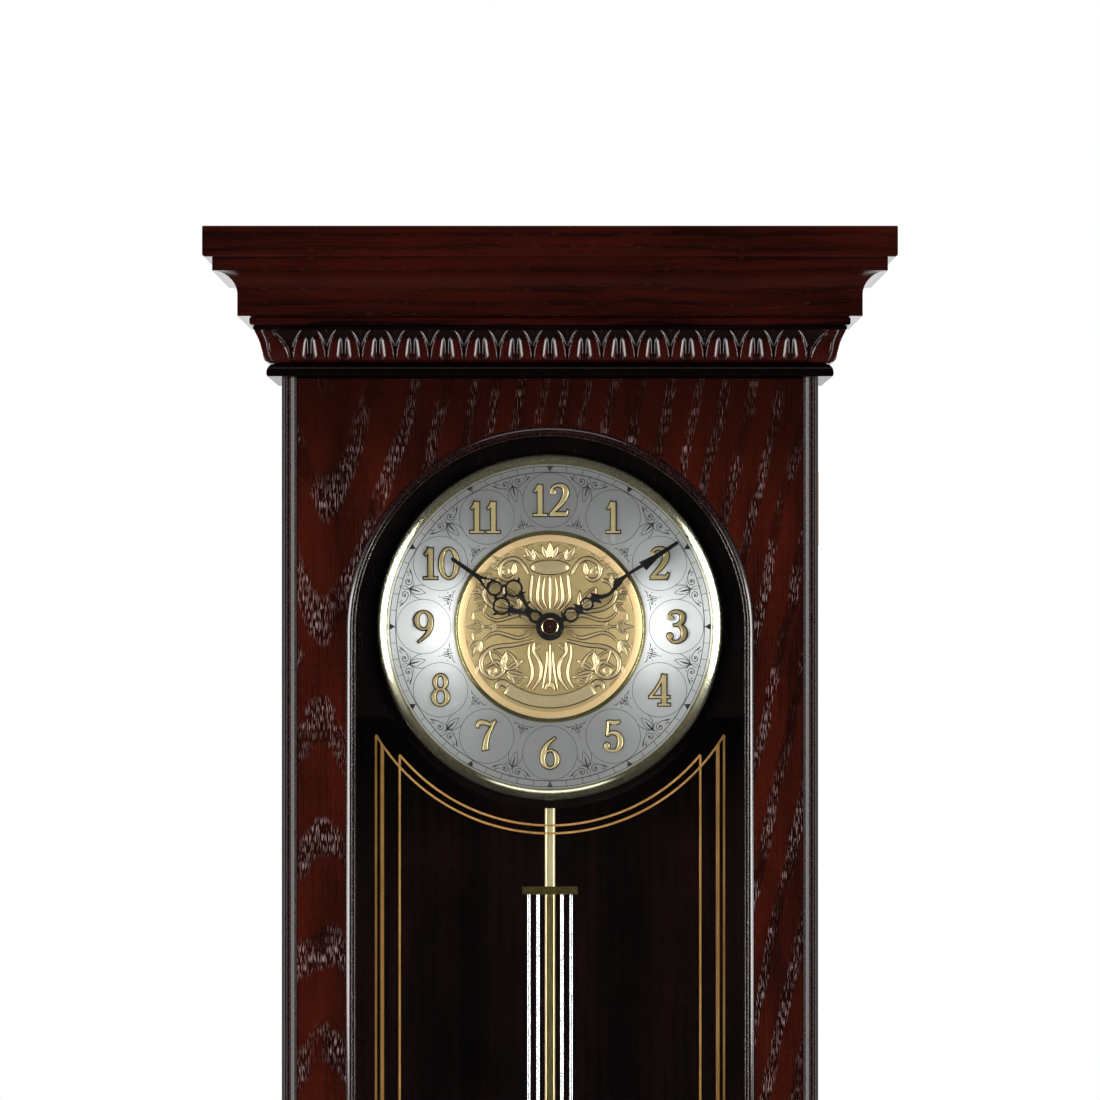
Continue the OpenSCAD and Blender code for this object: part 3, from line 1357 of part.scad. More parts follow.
side_panels();
back_panel();
bottom_panel();
hanging_rail();
frieze_board();
base_rail();
cornice_board();
crown_moulding();
neck_strips();
leaf_moulding();
base_moulding();
plinth();
dial_board();
board_cleats();
dial_plate();
medallion();
bezel();
numerals();
screws();
hinge_case_leaves();
hinge_pins();
catch_magnet();
hanger_plate();
movement_front();
bush_nut();
movement_rear();
motor_module();
circuit_board();
battery_cells();
battery_contacts();
drive_coil();
pendulum_pivot();
speaker();
door_panel();
door_edge_strips();
arch_moulding();
door_glass();
glass_beads();
hinge_door_leaves();
hinge_door_screws();
catch_plate();
minute_hand();
hand_nut();
minute_shaft();
hour_hand();
hour_wheel();
minute_wheel();
motor_pinion();
set_knob();
pendulum_hanger();
drive_magnet();
pendulum_rod();
crossbars();
silver_rods();
bob_shell();
bob_weight();
rating_nut();
battery_cover();
volume_dial();
chime_selector();
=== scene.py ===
# Pendulum wall clock: stained oak case with a moulded cornice and a glazed arched door,
# silvered dial with gilt figures, pierced hands and a rod pendulum. Metres, but mm in the outlines.
import math
import bmesh
import bpy
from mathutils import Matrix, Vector


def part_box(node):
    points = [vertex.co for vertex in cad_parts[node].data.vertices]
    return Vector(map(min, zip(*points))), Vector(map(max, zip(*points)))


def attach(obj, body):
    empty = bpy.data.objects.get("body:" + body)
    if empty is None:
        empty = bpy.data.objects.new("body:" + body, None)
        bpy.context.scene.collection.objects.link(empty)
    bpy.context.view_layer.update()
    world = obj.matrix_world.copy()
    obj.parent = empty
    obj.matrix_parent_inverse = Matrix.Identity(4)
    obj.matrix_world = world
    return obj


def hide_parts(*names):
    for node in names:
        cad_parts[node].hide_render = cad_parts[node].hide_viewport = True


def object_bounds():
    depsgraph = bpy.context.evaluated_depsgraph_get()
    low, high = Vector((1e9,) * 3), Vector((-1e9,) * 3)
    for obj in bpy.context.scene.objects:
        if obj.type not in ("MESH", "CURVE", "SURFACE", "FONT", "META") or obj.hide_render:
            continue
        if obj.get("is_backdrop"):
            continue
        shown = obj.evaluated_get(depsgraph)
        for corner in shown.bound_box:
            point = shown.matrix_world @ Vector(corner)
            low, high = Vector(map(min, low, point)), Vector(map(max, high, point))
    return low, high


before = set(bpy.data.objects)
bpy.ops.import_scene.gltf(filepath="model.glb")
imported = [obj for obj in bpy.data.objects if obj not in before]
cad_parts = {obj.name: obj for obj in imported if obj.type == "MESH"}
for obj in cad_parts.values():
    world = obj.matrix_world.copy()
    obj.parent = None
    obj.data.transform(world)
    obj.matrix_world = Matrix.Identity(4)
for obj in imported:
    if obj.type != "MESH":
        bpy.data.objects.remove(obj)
cad_low, cad_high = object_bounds()
mm = 0.001

# Carcass: two upright sides, the floor of the case and the boards behind cornice and base. Oak
# veneer on board, stained deep red-brown, the open pores filled paler, then varnished. The figure
# is drawn once as a grain group, whose arch input bends it as plain-sawn oak does. The same input
# also darkens the figure and fades its flecks towards the top, as a painted shadow of the cornice.


class Wire:
    """One output of a node. Arithmetic on it adds maths nodes to its tree."""

    def __init__(self, socket):
        self.socket = socket
        self.tree = socket.id_data

    def maths(self, operation, *others):
        return put(self.tree, "ShaderNodeMath", self, *others, settings={"operation": operation})

    def __add__(self, other):
        return self.maths("ADD", other)

    def __sub__(self, other):
        return self.maths("SUBTRACT", other)

    def __rsub__(self, other):
        return put(self.tree, "ShaderNodeMath", other, self, settings={"operation": "SUBTRACT"})

    def __mul__(self, other):
        return self.maths("MULTIPLY", other)

    def __abs__(self):
        return self.maths("ABSOLUTE")

    def larger(self, other):
        return self.maths("MAXIMUM", other)

    def step(self, low, high):
        """Nought up to low, one from high on, and smooth between."""
        return put(self.tree, "ShaderNodeMapRange", Value=self, From_Min=low, From_Max=high,
                   settings={"interpolation_type": "SMOOTHSTEP"})


def feed(socket, value):
    """Links the socket to a wire, or sets its value."""
    if isinstance(value, Wire):
        value.tree.links.new(value.socket, socket)
    else:
        socket.default_value = value


def set_inputs(node, **inputs):
    """Feeds inputs by name, with an underscore for each space."""
    for key, value in inputs.items():
        feed(node.inputs[key.replace("_", " ")], value)


def put(tree, kind, *values, out=0, settings=None, **inputs):
    """Adds a node, feeds it in order and by name, and gives one output or a list of several."""
    made = tree.nodes.new(kind)
    for key, value in (settings or {}).items():
        setattr(made, key, value)
    for socket, value in zip(made.inputs, values):
        feed(socket, value)
    set_inputs(made, **inputs)
    if isinstance(out, tuple):
        return [Wire(made.outputs[name]) for name in out]
    return Wire(made.outputs[out])


def vector_maths(operation, vector, *others, out=0):
    return put(vector.tree, "ShaderNodeVectorMath", vector, *others, out=out,
               settings={"operation": operation})


def split(vector):
    return put(vector.tree, "ShaderNodeSeparateXYZ", vector, out=("X", "Y", "Z"))


def noise(place, scale, detail=2.0, **inputs):
    return put(place.tree, "ShaderNodeTexNoise", Vector=place, Scale=scale, Detail=detail, **inputs)


def bump(height, strength, distance):
    return put(height.tree, "ShaderNodeBump", Strength=strength, Distance=distance, Height=height)


def linear(colour):
    """The shader's linear colour for an sRGB one from 0 to 255."""
    shares = [c / 255 for c in colour]
    return (*[s / 12.92 if s <= 0.04045 else ((s + 0.055) / 1.055) ** 2.4 for s in shares], 1.0)


def blend(share, first, second):
    """Mixes two colours, each a wire or an sRGB colour."""
    mix = share.tree.nodes.new("ShaderNodeMix")
    mix.data_type = "RGBA"
    for index, value in ((0, share), (6, first), (7, second)):
        feed(mix.inputs[index], value if isinstance(value, Wire) else linear(value))
    return Wire(mix.outputs[2])


def new_group(name, inputs, outputs):
    """A shader node group, with its inputs as wires and its output node."""
    group = bpy.data.node_groups.new(name, "ShaderNodeTree")
    for label, kind, value in inputs:
        socket = group.interface.new_socket(label, in_out="INPUT", socket_type=kind)
        if value is not None:
            socket.default_value = value
    for label in outputs:
        group.interface.new_socket(label, in_out="OUTPUT", socket_type="NodeSocketFloat")
    given = put(group, "NodeGroupInput", out=tuple(label for label, kind, value in inputs))
    return group, given, group.nodes.new("NodeGroupOutput")


grain, (place, arch, flecks), grain_out = new_group(
    "oak grain", [("Vector", "NodeSocketVector", None), ("Arch", "NodeSocketFloat", 0.0),
                  ("Flecks", "NodeSocketFloat", 1.0)], ("Figure", "Fleck", "Height"))
x, y, z = split(place)
across = (y * 0.8 + x) * 1000.0
along = z * 1000.0
arch_axis, arch_soft = -202.0, 9.0
hill_step, hill_start = 57.0, -198.0
valley_step, valley_start = 69.0, -141.0


def streaks(across_scale, along_scale, detail):
    """Noise drawn out along the grain."""
    drawn = put(grain, "ShaderNodeCombineXYZ", X=across * across_scale, Z=along * along_scale)
    return noise(drawn, 1.0, detail, Roughness=0.6)


def ring_band(rings):
    """One on the porous half of each growth ring."""
    return (rings * (2 * math.pi)).maths("SINE").step(0.15, 0.8)


warp = (streaks(0.03, 0.014, 2.0) - 0.5) * 44.0
offset = (across - arch_axis) * (1 / arch_soft)
bow = (offset * offset + 1.0).maths("SQRT") * arch_soft - arch_soft
level = along + warp
hill = bow * 2.0 + level
valley = level - (across.step(-180.0, -50.0) * 1.6 + 3.0) * bow
upper = valley.step(-186.0, -172.0).larger(across.step(-180.0, -172.0))
arched = put(grain, "ShaderNodeMix", Factor=upper,
             A=ring_band((hill - hill_start) * (1 / hill_step) + 0.25),
             B=ring_band((valley - valley_start) * (1 / valley_step) + 0.25))
straight = ring_band(across * (1 / 7) + warp * 0.03)
band = put(grain, "ShaderNodeMix", Factor=arch, A=straight, B=arched)
dashes = streaks(3.1, 0.2, 0.0).step(0.6, 0.66)
patches = streaks(0.05, 0.03, 1.0).step(0.36, 0.6)
# Painted shadow of the cornice: with the arch input on, the figure darkens and the flecks fade towards the
# top.
painted_cornice_shadow = along.step(-90.0, -15.0) * arch
fleck = dashes * (band * patches * 0.98 + 0.02) * flecks * (painted_cornice_shadow * -0.75 + 1.0)
fibre = streaks(0.9, 0.02, 3.0)
tone = fibre * 0.45 + streaks(0.045, 0.008, 2.0) * 0.75
set_inputs(grain_out, Figure=(tone - band * 0.14).step(0.36, 0.8) * (painted_cornice_shadow * -0.7 + 1.0), Fleck=fleck,
           Height=fibre * 0.25 - fleck * 0.8)


def finish(name, **inputs):
    """A new material and its shader."""
    made = bpy.data.materials.new(name)
    made.use_nodes = True
    shader = made.node_tree.nodes["Principled BSDF"]
    set_inputs(shader, **inputs)
    return made, shader


def coords_of(shader):
    return put(shader.id_data, "ShaderNodeTexCoord", out="Object")


def oak(name, dark, light, pore, arch=0.0, flecks=1.0, turned=False, shift=(0, 0, 0), rough=0.26, coat=0.3,
        shine=0.06, painted_shade_below=None):
    """Stained oak: figure between two tones, filled pores and a low relief, darkened below a given height as
    painted shade when that band is given.
    """
    made, shader = finish(name, Coat_Weight=coat, Coat_Roughness=0.12, Specular_IOR_Level=shine)
    coords = coords_of(shader)
    turn = (0, math.pi / 2, 0) if turned else (0, 0, 0)
    laid = put(coords.tree, "ShaderNodeMapping", Vector=coords, Location=shift, Rotation=turn)
    figure, fleck, height = put(coords.tree, "ShaderNodeGroup", settings={"node_tree": grain}, Vector=laid,
                                Arch=arch, Flecks=flecks, out=("Figure", "Fleck", "Height"))
    # Painted shade: below the given height the figure falls to the dark tone.
    if painted_shade_below:
        figure = figure * split(coords)[2].step(*painted_shade_below)
    set_inputs(shader, Base_Color=blend(fleck, blend(figure, dark, light), pore),
               Roughness=fleck * 0.25 + rough, Normal=bump(height, 0.25, 0.0003))
    return made


def dress(material, *names):
    """Gives CAD nodes a finish."""
    for name in names:
        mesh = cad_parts[name].data
        mesh.materials.clear()
        mesh.materials.append(material)


side_oak = oak("stained oak sides", (24, 5, 3), (62, 16, 8), (104, 72, 68), flecks=0.5)
board_oak = oak("stained oak boards", (21, 5, 3), (51, 12, 6), (80, 34, 24), flecks=0.35, turned=True,
                coat=0.7)
inside_oak = oak("stained oak inside", (11, 4, 4), (36, 14, 12), (60, 42, 40), flecks=0.4,
                 shift=(0.02, 0, 0.1), rough=0.5, coat=0.0)
pine = oak("plain pine", (150, 108, 66), (196, 156, 106), (120, 80, 44), flecks=0.25, turned=True, rough=0.6,
           coat=0.0)
dress(side_oak, "side_panels")
dress(inside_oak, "back_panel", "bottom_panel")
dress(pine, "hanging_rail")
dress(board_oak, "frieze_board", "base_rail")

# Cornice board, hollow mouldings, thin strips and plinth: solid wood milled to section, mitred at
# the corners and glued on. Stained a little darker than the door, with close straight grain.
dress(board_oak, "cornice_board", "crown_moulding", "base_moulding", "plinth")
# The lower neck strip, below height nought, is darkened as a painted shadow of the carved leaves above it.
strip_oak = oak("stained strips", (8, 2, 2), (58, 15, 9), (50, 20, 16), flecks=0.1, turned=True, rough=0.28,
                painted_shade_below=(0.0, 0.01))
dress(strip_oak, "neck_strips")

# Carved strip under the cornice: a row of upright leaves, each of two round lobes under an arched
# rim, with small darts between and one broad leaf round each corner. Carved in the solid, stained
# and varnished, its hollows painted near black as shade. Geometry nodes repeat the leaf along a run.
strip_low, lip_top = (corner.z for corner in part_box("leaf_moulding"))
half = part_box("door_edge_strips")[1].x
front_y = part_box("door_panel")[0].y
lip_t = 0.0024
strip_top = lip_top - lip_t
leaf_w, leaf_h = 0.0185, (strip_top - strip_low) / mm
arch_half, arch_top, lobe_top, groove_half = 9.15, 18.4, 11.5, 0.8
face = [(0.0, 4.9), (0.8, 5.9), (2.6, 7.2), (5.2, 8.5), (7.8, 9.3), (10.8, 10.1), (13.4, 11.2), (15.6, 12.5),
        (17.7, 13.6)]
crest = [(0.0, 4.8), (0.8, 6.0), (1.2, 8.0), (1.8, 9.2), (2.8, 10.0), (4.6, 10.6), (8.0, 11.1), (11.0, 11.4),
         (12.4, 11.5), (13.4, 11.2), (14.2, 10.4), (17.7, 11.0)]


def along_table(table, at):
    for (a, va), (b, vb) in zip(table, table[1:]):
        if at <= b:
            return va + (vb - va) * (at - a) / (b - a)
    return table[-1][1]


def dome(x, width):
    share = 1 - (x / width) ** 2
    return math.sqrt(share) if share > 0 else 0.0


def ridge(x, width):
    return math.exp(-(x / width) ** 2)


def leaf_relief(s, t):
    """Reach in mm at s mm from the leaf's middle and t mm above its foot."""
    s = abs(s)
    plain = along_table(face, t)
    arch = arch_half * (1 - (min(t, arch_top - 0.1) / arch_top) ** 2.1) ** 0.476
    sunk = plain - 1.0 - 1.1 * dome(t - 15.4, 3.2)
    rim = 1.2 * ridge(s - arch, 0.36) * min(1.0, t) - 0.7
    taper = dome(max(t - lobe_top, 0), 5.0)
    lobe_w = (arch - 0.3 - groove_half) * taper
    middle = groove_half + 0.56 * lobe_w
    run = middle - groove_half if s < middle else 1.1 * lobe_w
    lobe = 0.0
    if taper > 0.15 and s < groove_half + lobe_w:
        full = max(along_table(crest, t) - sunk, 0) * min(1.0, 2 * taper)
        lobe = full * dome(s - middle, run) ** 1.6
    ground = sunk if s < arch else plain - 1.5
    return max(ground, sunk + lobe, plain + rim)


def in_scene(name, data):
    made = bpy.data.objects.new(name, data)
    bpy.context.scene.collection.objects.link(made)
    return made


def keep(name, mesh, material=None, smooth=True):
    """Turns a bmesh into an object of that name, its faces outwards."""
    bmesh.ops.recalc_face_normals(mesh, faces=mesh.faces)
    data = bpy.data.meshes.new(name)
    mesh.to_mesh(data)
    mesh.free()
    if smooth:
        data.polygons.foreach_set("use_smooth", [True] * len(data.polygons))
    if material:
        data.materials.append(material)
    return in_scene(name, data)


rows, columns = 40, 57


def carved_block(name, front, back):
    """A closed block whose carved face is front(share, t) and whose back is one flat face."""
    mesh = bmesh.new()

    def corner(point, i, j):
        return mesh.verts.new(point(i / (columns - 1), j / (rows - 1) * leaf_h))

    fronts = [[corner(front, i, j) for j in range(rows)] for i in range(columns)]
    for a, b in zip(fronts, fronts[1:]):
        for j in range(rows - 1):
            mesh.faces.new((a[j], b[j], b[j + 1], a[j + 1]))
    edge = ([(i, 0) for i in range(columns)] + [(columns - 1, j) for j in range(1, rows)]
            + [(i, rows - 1) for i in range(columns - 2, -1, -1)] + [(0, j) for j in range(rows - 2, 0, -1)])
    behind = [corner(back, i, j) for i, j in edge]
    for k, (i, j) in enumerate(edge):
        m = (k + 1) % len(edge)
        mesh.faces.new((fronts[i][j], behind[k], behind[m], fronts[edge[m][0]][edge[m][1]]))
    mesh.faces.new(behind[::-1])
    return keep(name, mesh)


def repeat_tree():
    """Geometry nodes for a row along a step, each copy turned further about the depth axis."""
    tree = bpy.data.node_groups.new("row of copies", "GeometryNodeTree")
    kinds = {"Piece": "Object", "Count": "Int", "Start": "Vector", "Step": "Vector", "Turn": "Vector",
             "Turn each": "Float", "First turn": "Float", "Finish": "Material"}
    ids = {}
    for label, kind in kinds.items():
        socket = tree.interface.new_socket(label, in_out="INPUT", socket_type="NodeSocket" + kind)
        ids[label] = socket.identifier
    tree.interface.new_socket("Geometry", in_out="OUTPUT", socket_type="NodeSocketGeometry")
    piece, count, start, step, turn, each, first, coating = put(tree, "NodeGroupInput", out=tuple(kinds))
    line = put(tree, "GeometryNodeMeshLine", Count=count, Start_Location=start, Offset=step)
    spin = put(tree, "ShaderNodeCombineXYZ", Y=put(tree, "GeometryNodeInputIndex") * each + first)
    source = put(tree, "GeometryNodeObjectInfo", Object=piece, out="Geometry")
    copies = put(tree, "GeometryNodeInstanceOnPoints", Points=line, Instance=source,
                 Rotation=vector_maths("ADD", turn, spin))
    real = put(tree, "GeometryNodeRealizeInstances", Geometry=copies)
    done = put(tree, "GeometryNodeSetMaterial", Geometry=real, Material=coating)
    feed(tree.nodes.new("NodeGroupOutput").inputs[0], done)
    return tree, ids


row_tree, row_ids = repeat_tree()


def baked(carrier, name):
    """The carrier's evaluated shape as a plain mesh. The carrier is taken away."""
    bpy.context.view_layer.update()
    data = bpy.data.meshes.new_from_object(carrier.evaluated_get(bpy.context.evaluated_depsgraph_get()))
    bpy.data.objects.remove(carrier)
    data.name = name
    return data


def row(name, piece, count, material, **inputs):
    """One plain mesh of all the copies, in place."""
    carrier = in_scene(name + "_carrier", bpy.data.meshes.new(name + "_carrier"))
    made = carrier.modifiers.new("copies", "NODES")
    made.node_group = row_tree
    for label, value in {"Piece": piece, "Count": count, "Finish": material, **inputs}.items():
        made[row_ids[label.replace("_", " ")]] = value
    return in_scene(name, baked(carrier, name))


def join(name, material, *parts):
    """Joins meshes of one finish into one object."""
    mesh = bmesh.new()
    for part in parts:
        mesh.from_mesh(part.data)
        bpy.data.objects.remove(part)
    for joined in mesh.faces:
        joined.material_index = 0
    return keep(name, mesh, material)


carved, shader = finish("carved and varnished", Roughness=0.2, Coat_Weight=0.8, Coat_Roughness=0.12,
                        Specular_IOR_Level=0.12)
coords = coords_of(shader)
x, y, z = split(coords)
reach = (abs(x) - half).larger(front_y - y)
lean, foot_reach = 0.45, 0.0056
plain_reach = (z - strip_low) * lean + foot_reach
# Painted shade: the hollows behind the plain face go near black, the raised parts keep the red-brown.
outside_painted_hollow_shade = (reach - plain_reach).step(-0.0012, 0.0014)
shade = (outside_painted_hollow_shade * 0.9 + 0.1) * (noise(coords, 90.0, 3.0) + 0.4)
set_inputs(shader, Base_Color=blend(shade, (5, 2, 2), (48, 10, 6)),
           Normal=bump(noise(coords, 700.0), 0.25, 0.0002))


def leaf_block(name, width):
    """One leaf, as wide as its run allows, with its middle at the origin."""
    def front(share, t):
        return ((share - 0.5) * width, -leaf_relief((share - 0.5) * leaf_w / mm, t) * mm, strip_low + t * mm)

    return carved_block(name, front, lambda share, t: ((share - 0.5) * width, 0.0, strip_low + t * mm))


front_count, side_count = 15, 5
row_end = front_count * leaf_w / 2
corner_w = half - row_end
side_w = (-front_y - corner_w) / side_count
leaf = leaf_block("leaf", leaf_w)
side_leaf = leaf_block("side_leaf", side_w)
parts = [row("front_leaves", leaf, front_count, carved, Start=(leaf_w / 2 - row_end, front_y, 0),
             Step=(leaf_w, 0, 0))]
for side, name in ((1, "right_leaves"), (-1, "left_leaves")):
    parts.append(row(name, side_leaf, side_count, carved, Start=(side * half, -side_w / 2, 0),
                     Step=(0, -side_w, 0), Turn=(0, 0, side * math.pi / 2)))
for piece in (leaf, side_leaf):
    bpy.data.objects.remove(piece)


def corner_lift(x, t):
    """Height in mm of the corner leaf over the plain face: a curved double rim, a body and a groove."""
    gap = x - (row_end / mm + 0.8 + 11.0 * (t / leaf_h) ** 2.2)
    body = 0.95 * dome(t - 7, 11.5) * min(1.0, gap / 2.5) if gap > 0 else -0.55
    rims = 1.5 * ridge(gap + 0.1, 0.34) + 1.4 * ridge(gap - 1.4, 0.32)
    from_mitre = half / mm + along_table(face, t) - x
    groove = 0.9 * ridge(from_mitre - 1.9 - 0.12 * t, 0.4)
    return max(body, rims - 0.5) - groove


def corner_front(share, t):
    """Half of the broad corner leaf, from the last front leaf out to the mitre."""
    start, reach = row_end / mm, along_table(face, t)
    end = half / mm + reach + corner_lift(half / mm + reach, t)
    x = start + (end - start) * share
    out = end - half / mm if share == 1 else reach + corner_lift(x, t)
    return (x * mm, front_y - out * mm, strip_low + t * mm)


def corner_back(share, t):
    return (row_end + corner_w * share, front_y, strip_low + t * mm)


for side in (1, -1):
    for turned in (False, True):
        def placed(point):
            x, y, z = point
            if turned:
                x, y = half + front_y - y, front_y + half - x
            return (x * side, y, z)

        parts.append(carved_block("corner", lambda share, t: placed(corner_front(share, t)),
                                  lambda share, t: placed(corner_back(share, t))))
leaves = join("carved_leaves", carved, *parts)
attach(leaves, "case")
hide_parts("leaf_moulding")


def skin(mesh, rings, closed=False):
    """Joins rings of corners by faces, back to the first ring or else capped at both ends."""
    count = len(rings[0])
    for a, b in zip(rings, rings[1:] + rings[:1] if closed else rings[1:]):
        for k in range(count):
            mesh.faces.new((a[k], a[(k + 1) % count], b[(k + 1) % count], b[k]))
    if not closed:
        mesh.faces.new(rings[0])
        mesh.faces.new(rings[-1])


lip_oak = oak("stained strip edge", (5, 2, 2), (24, 7, 5), (40, 20, 16), flecks=0.1, turned=True, rough=0.28,
              coat=0.4)
lip_low, lip_high = strip_top - 0.0003, lip_top - 0.0001
lip_section = [(0.0, lip_low), (0.0136, lip_low), (0.0143, strip_top), (0.0145, strip_top + 0.0006),
               (0.0145, lip_top - 0.0008), (0.0139, lip_high), (0.0, lip_high)]
mesh = bmesh.new()
rings = []
for side, at_wall in ((-1, True), (-1, False), (1, False), (1, True)):
    rings.append([mesh.verts.new((side * (half + reach), 0.0 if at_wall else front_y - reach, z))
                  for reach, z in lip_section])
skin(mesh, rings)
lip = keep("carved_strip_lip", mesh, lip_oak, smooth=False)
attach(lip, "case")

# Dial board: a thin board painted black-brown, screwed to two battens inside the case. Its lower
# edge is round, and follows the dial.
board_black = oak("black-brown board", (6, 4, 4), (20, 11, 10), (52, 42, 40), flecks=0.6, shift=(0.03, 0, 0),
                  rough=0.65, coat=0.0, shine=0.02)
dress(board_black, "dial_board")
dress(pine, "board_cleats")

# Dial plate: spun aluminium, silvered and brushed in circles, so that light from the sides opens
# into two bright fans. It lies on the board under the bezel's edge.
plate_low, plate_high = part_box("dial_plate")
dial_z = (plate_low.z + plate_high.z) / 2
plate_y, plate_back = plate_low.y, plate_high.y
hole_r, plate_r = 0.0043, 0.092


def lathe(name, profile, material, steps=180):
    """A ring turned about the hand axis from (radius, y) points, with the angle and radius as its UV map."""
    mesh = bmesh.new()
    uv = mesh.loops.layers.uv.new("turned")
    rings = []
    for k in range(steps):
        a = 2 * math.pi * k / steps
        rings.append([mesh.verts.new((r * math.sin(a), y, dial_z + r * math.cos(a))) for r, y in profile])
    count = len(profile)
    for k in range(steps):
        for j in range(count):
            corners = ((k, j), (k + 1, j), (k + 1, j + 1), (k, j + 1))
            made = mesh.faces.new([rings[ku % steps][jv % count] for ku, jv in corners])
            for loop, (ku, jv) in zip(made.loops, corners):
                loop[uv].uv = (ku / steps, profile[jv % count][0] / 0.1)
    return keep(name, mesh, material)


def sharp(made, degrees=35):
    """Smooth faces, with the edges steeper than the angle kept crisp."""
    mesh = bmesh.new()
    mesh.from_mesh(made.data)
    for edge in mesh.edges:
        if len(edge.link_faces) == 2 and edge.calc_face_angle(0) > math.radians(degrees):
            edge.smooth = False
    mesh.to_mesh(made.data)
    mesh.free()
    return made


def dial_radius(coords):
    """Distance in mm from the hand axis."""
    centred = put(coords.tree, "ShaderNodeMapping", Vector=coords, Location=(0, 0, -dial_z))
    flat = vector_maths("MULTIPLY", centred, (1000, 0, 1000))
    return vector_maths("LENGTH", flat, out="Value")


silver, shader = finish("brushed silver", Metallic=0.94, Roughness=0.5, Anisotropic=0.84,
                        Anisotropic_Rotation=0.25)
coords = coords_of(shader)
turning = put(coords.tree, "ShaderNodeTexNoise", settings={"noise_dimensions": "1D"}, W=dial_radius(coords),
              Scale=5.2, Detail=1.0)
brushing = put(coords.tree, "ShaderNodeTangent", settings={"direction_type": "UV_MAP", "uv_map": "turned"})
set_inputs(shader, Tangent=brushing,
           Base_Color=blend(turning * 0.6 + noise(coords, 40.0) * 0.3, (222, 223, 222), (248, 249, 248)))
plate_rings = [hole_r, 0.02, 0.04, 0.06, 0.075, 0.09, plate_r]
plate = sharp(lathe("silvered_plate", [(r, plate_y) for r in plate_rings]
                    + [(plate_r, plate_back), (hole_r, plate_back)], silver))
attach(plate, "case")
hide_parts("dial_plate")

# Dial printing: black ink on the silvered plate, as fine raised lines. A minute track with an arrow
# at each five, a circle round each hour, and a pair of scroll ornaments between every two hours.
ink, shader = finish("black ink", Roughness=0.5)
set_inputs(shader, Base_Color=blend(noise(coords_of(shader), 900.0, 1.0), (18, 18, 20), (44, 44, 46)))
ink_t = 0.00003
track_r, track_in_r, hour_r, hour_ring_r = 87.8, 84.5, 69.2, 14.9


def flow(points, n=6):
    """A smooth line through points (u, v, width), in mm."""
    line = []
    for i in range(len(points) - 1):
        a, b = points[max(0, i - 1)], points[i]
        c, d = points[i + 1], points[min(len(points) - 1, i + 2)]
        for s in range(n):
            t = s / n
            line.append(tuple(0.5 * (2 * q + (r - p) * t + (2 * p - 5 * q + 4 * r - e) * t ** 2
                                     + (3 * q - p - 3 * r + e) * t ** 3) for p, q, r, e in zip(a, b, c, d)))
    return line + [points[-1]]


def arc(u, v, radius, start, end, steps, width, width_end=None, radius_end=None):
    """Stations round an arc or a spiral, angles in degrees counted from the u axis."""
    line = []
    for k in range(steps + 1):
        t = k / steps
        a = math.radians(start + (end - start) * t)
        r = radius + ((radius_end or radius) - radius) * t
        line.append((u + r * math.cos(a), v + r * math.sin(a), width + ((width_end or width) - width) * t))
    return line


FLAT = ((-1, 0), (-1, 1), (1, 1), (1, 0))
ROUND = ((-1, 0), (-0.8, 0.55), (-0.35, 0.95), (0.35, 0.95), (0.8, 0.55), (1, 0))
WIDE = ((-1, 0), (-0.96, 0.9), (-0.92, 1), (0.92, 1), (0.96, 0.9), (1, 0))


def trace(mesh, line, back_y, rise, section=FLAT, closed=False, centre_z=dial_z):
    """A closed strip along the line, its cross-section scaled by each point's width."""
    count = len(line)
    rings = []
    for i, (u, v, w) in enumerate(line):
        a = line[(i - 1) % count if closed else max(0, i - 1)]
        b = line[(i + 1) % count if closed else min(count - 1, i + 1)]
        du, dv = b[0] - a[0], b[1] - a[1]
        half_w = w / 2 / (math.hypot(du, dv) or 1.0)
        rings.append([mesh.verts.new(((u - dv * s * half_w) * mm, back_y - h * rise,
                                      centre_z + (v + du * s * half_w) * mm)) for s, h in section])
    skin(mesh, rings, closed)


def both(mesh, line, *how):
    """The strip and its mirror image."""
    trace(mesh, line, *how)
    trace(mesh, [(-u, v, w) for u, v, w in line], *how)


def dial_unit(name, mesh):
    """Keeps a unit drawn round the dial's middle, with that middle as its origin."""
    made = keep(name, mesh)
    for vertex in made.data.vertices:
        vertex.co.z -= dial_z
    return made


tick = bmesh.new()
trace(tick, [(0, track_in_r, 0.28), (0, track_r, 0.28)], plate_y, ink_t)
arrow = bmesh.new()
trace(arrow, [(0, 88.0, 3.8), (0, 84.9, 0.2)], plate_y, 1.5 * ink_t)
hour_ring = bmesh.new()
trace(hour_ring, arc(0, hour_r, hour_ring_r, 90, -265, 71, 0.24), plate_y, ink_t, FLAT, True)
scroll = bmesh.new()
outer_curl = [(10.9, 82.5, 0.15), (9.4, 81.6, 0.75), (7.8, 80.4, 0.4), (6.2, 79.6, 0.35), (4.8, 79.4, 0.35)]
inner_curl = [(5.8, 54.9, 0.15), (4.6, 55.9, 0.5), (3.2, 55.9, 0.3)]
both(scroll, flow(outer_curl, 3) + arc(3.7, 81.3, 2.1, -75, -430, 14, 0.35, 0.5, 0.8), plate_y, ink_t)
both(scroll, flow(inner_curl, 3) + arc(2.1, 57.0, 1.3, -60, -400, 10, 0.3, 0.4, 0.5), plate_y, ink_t)
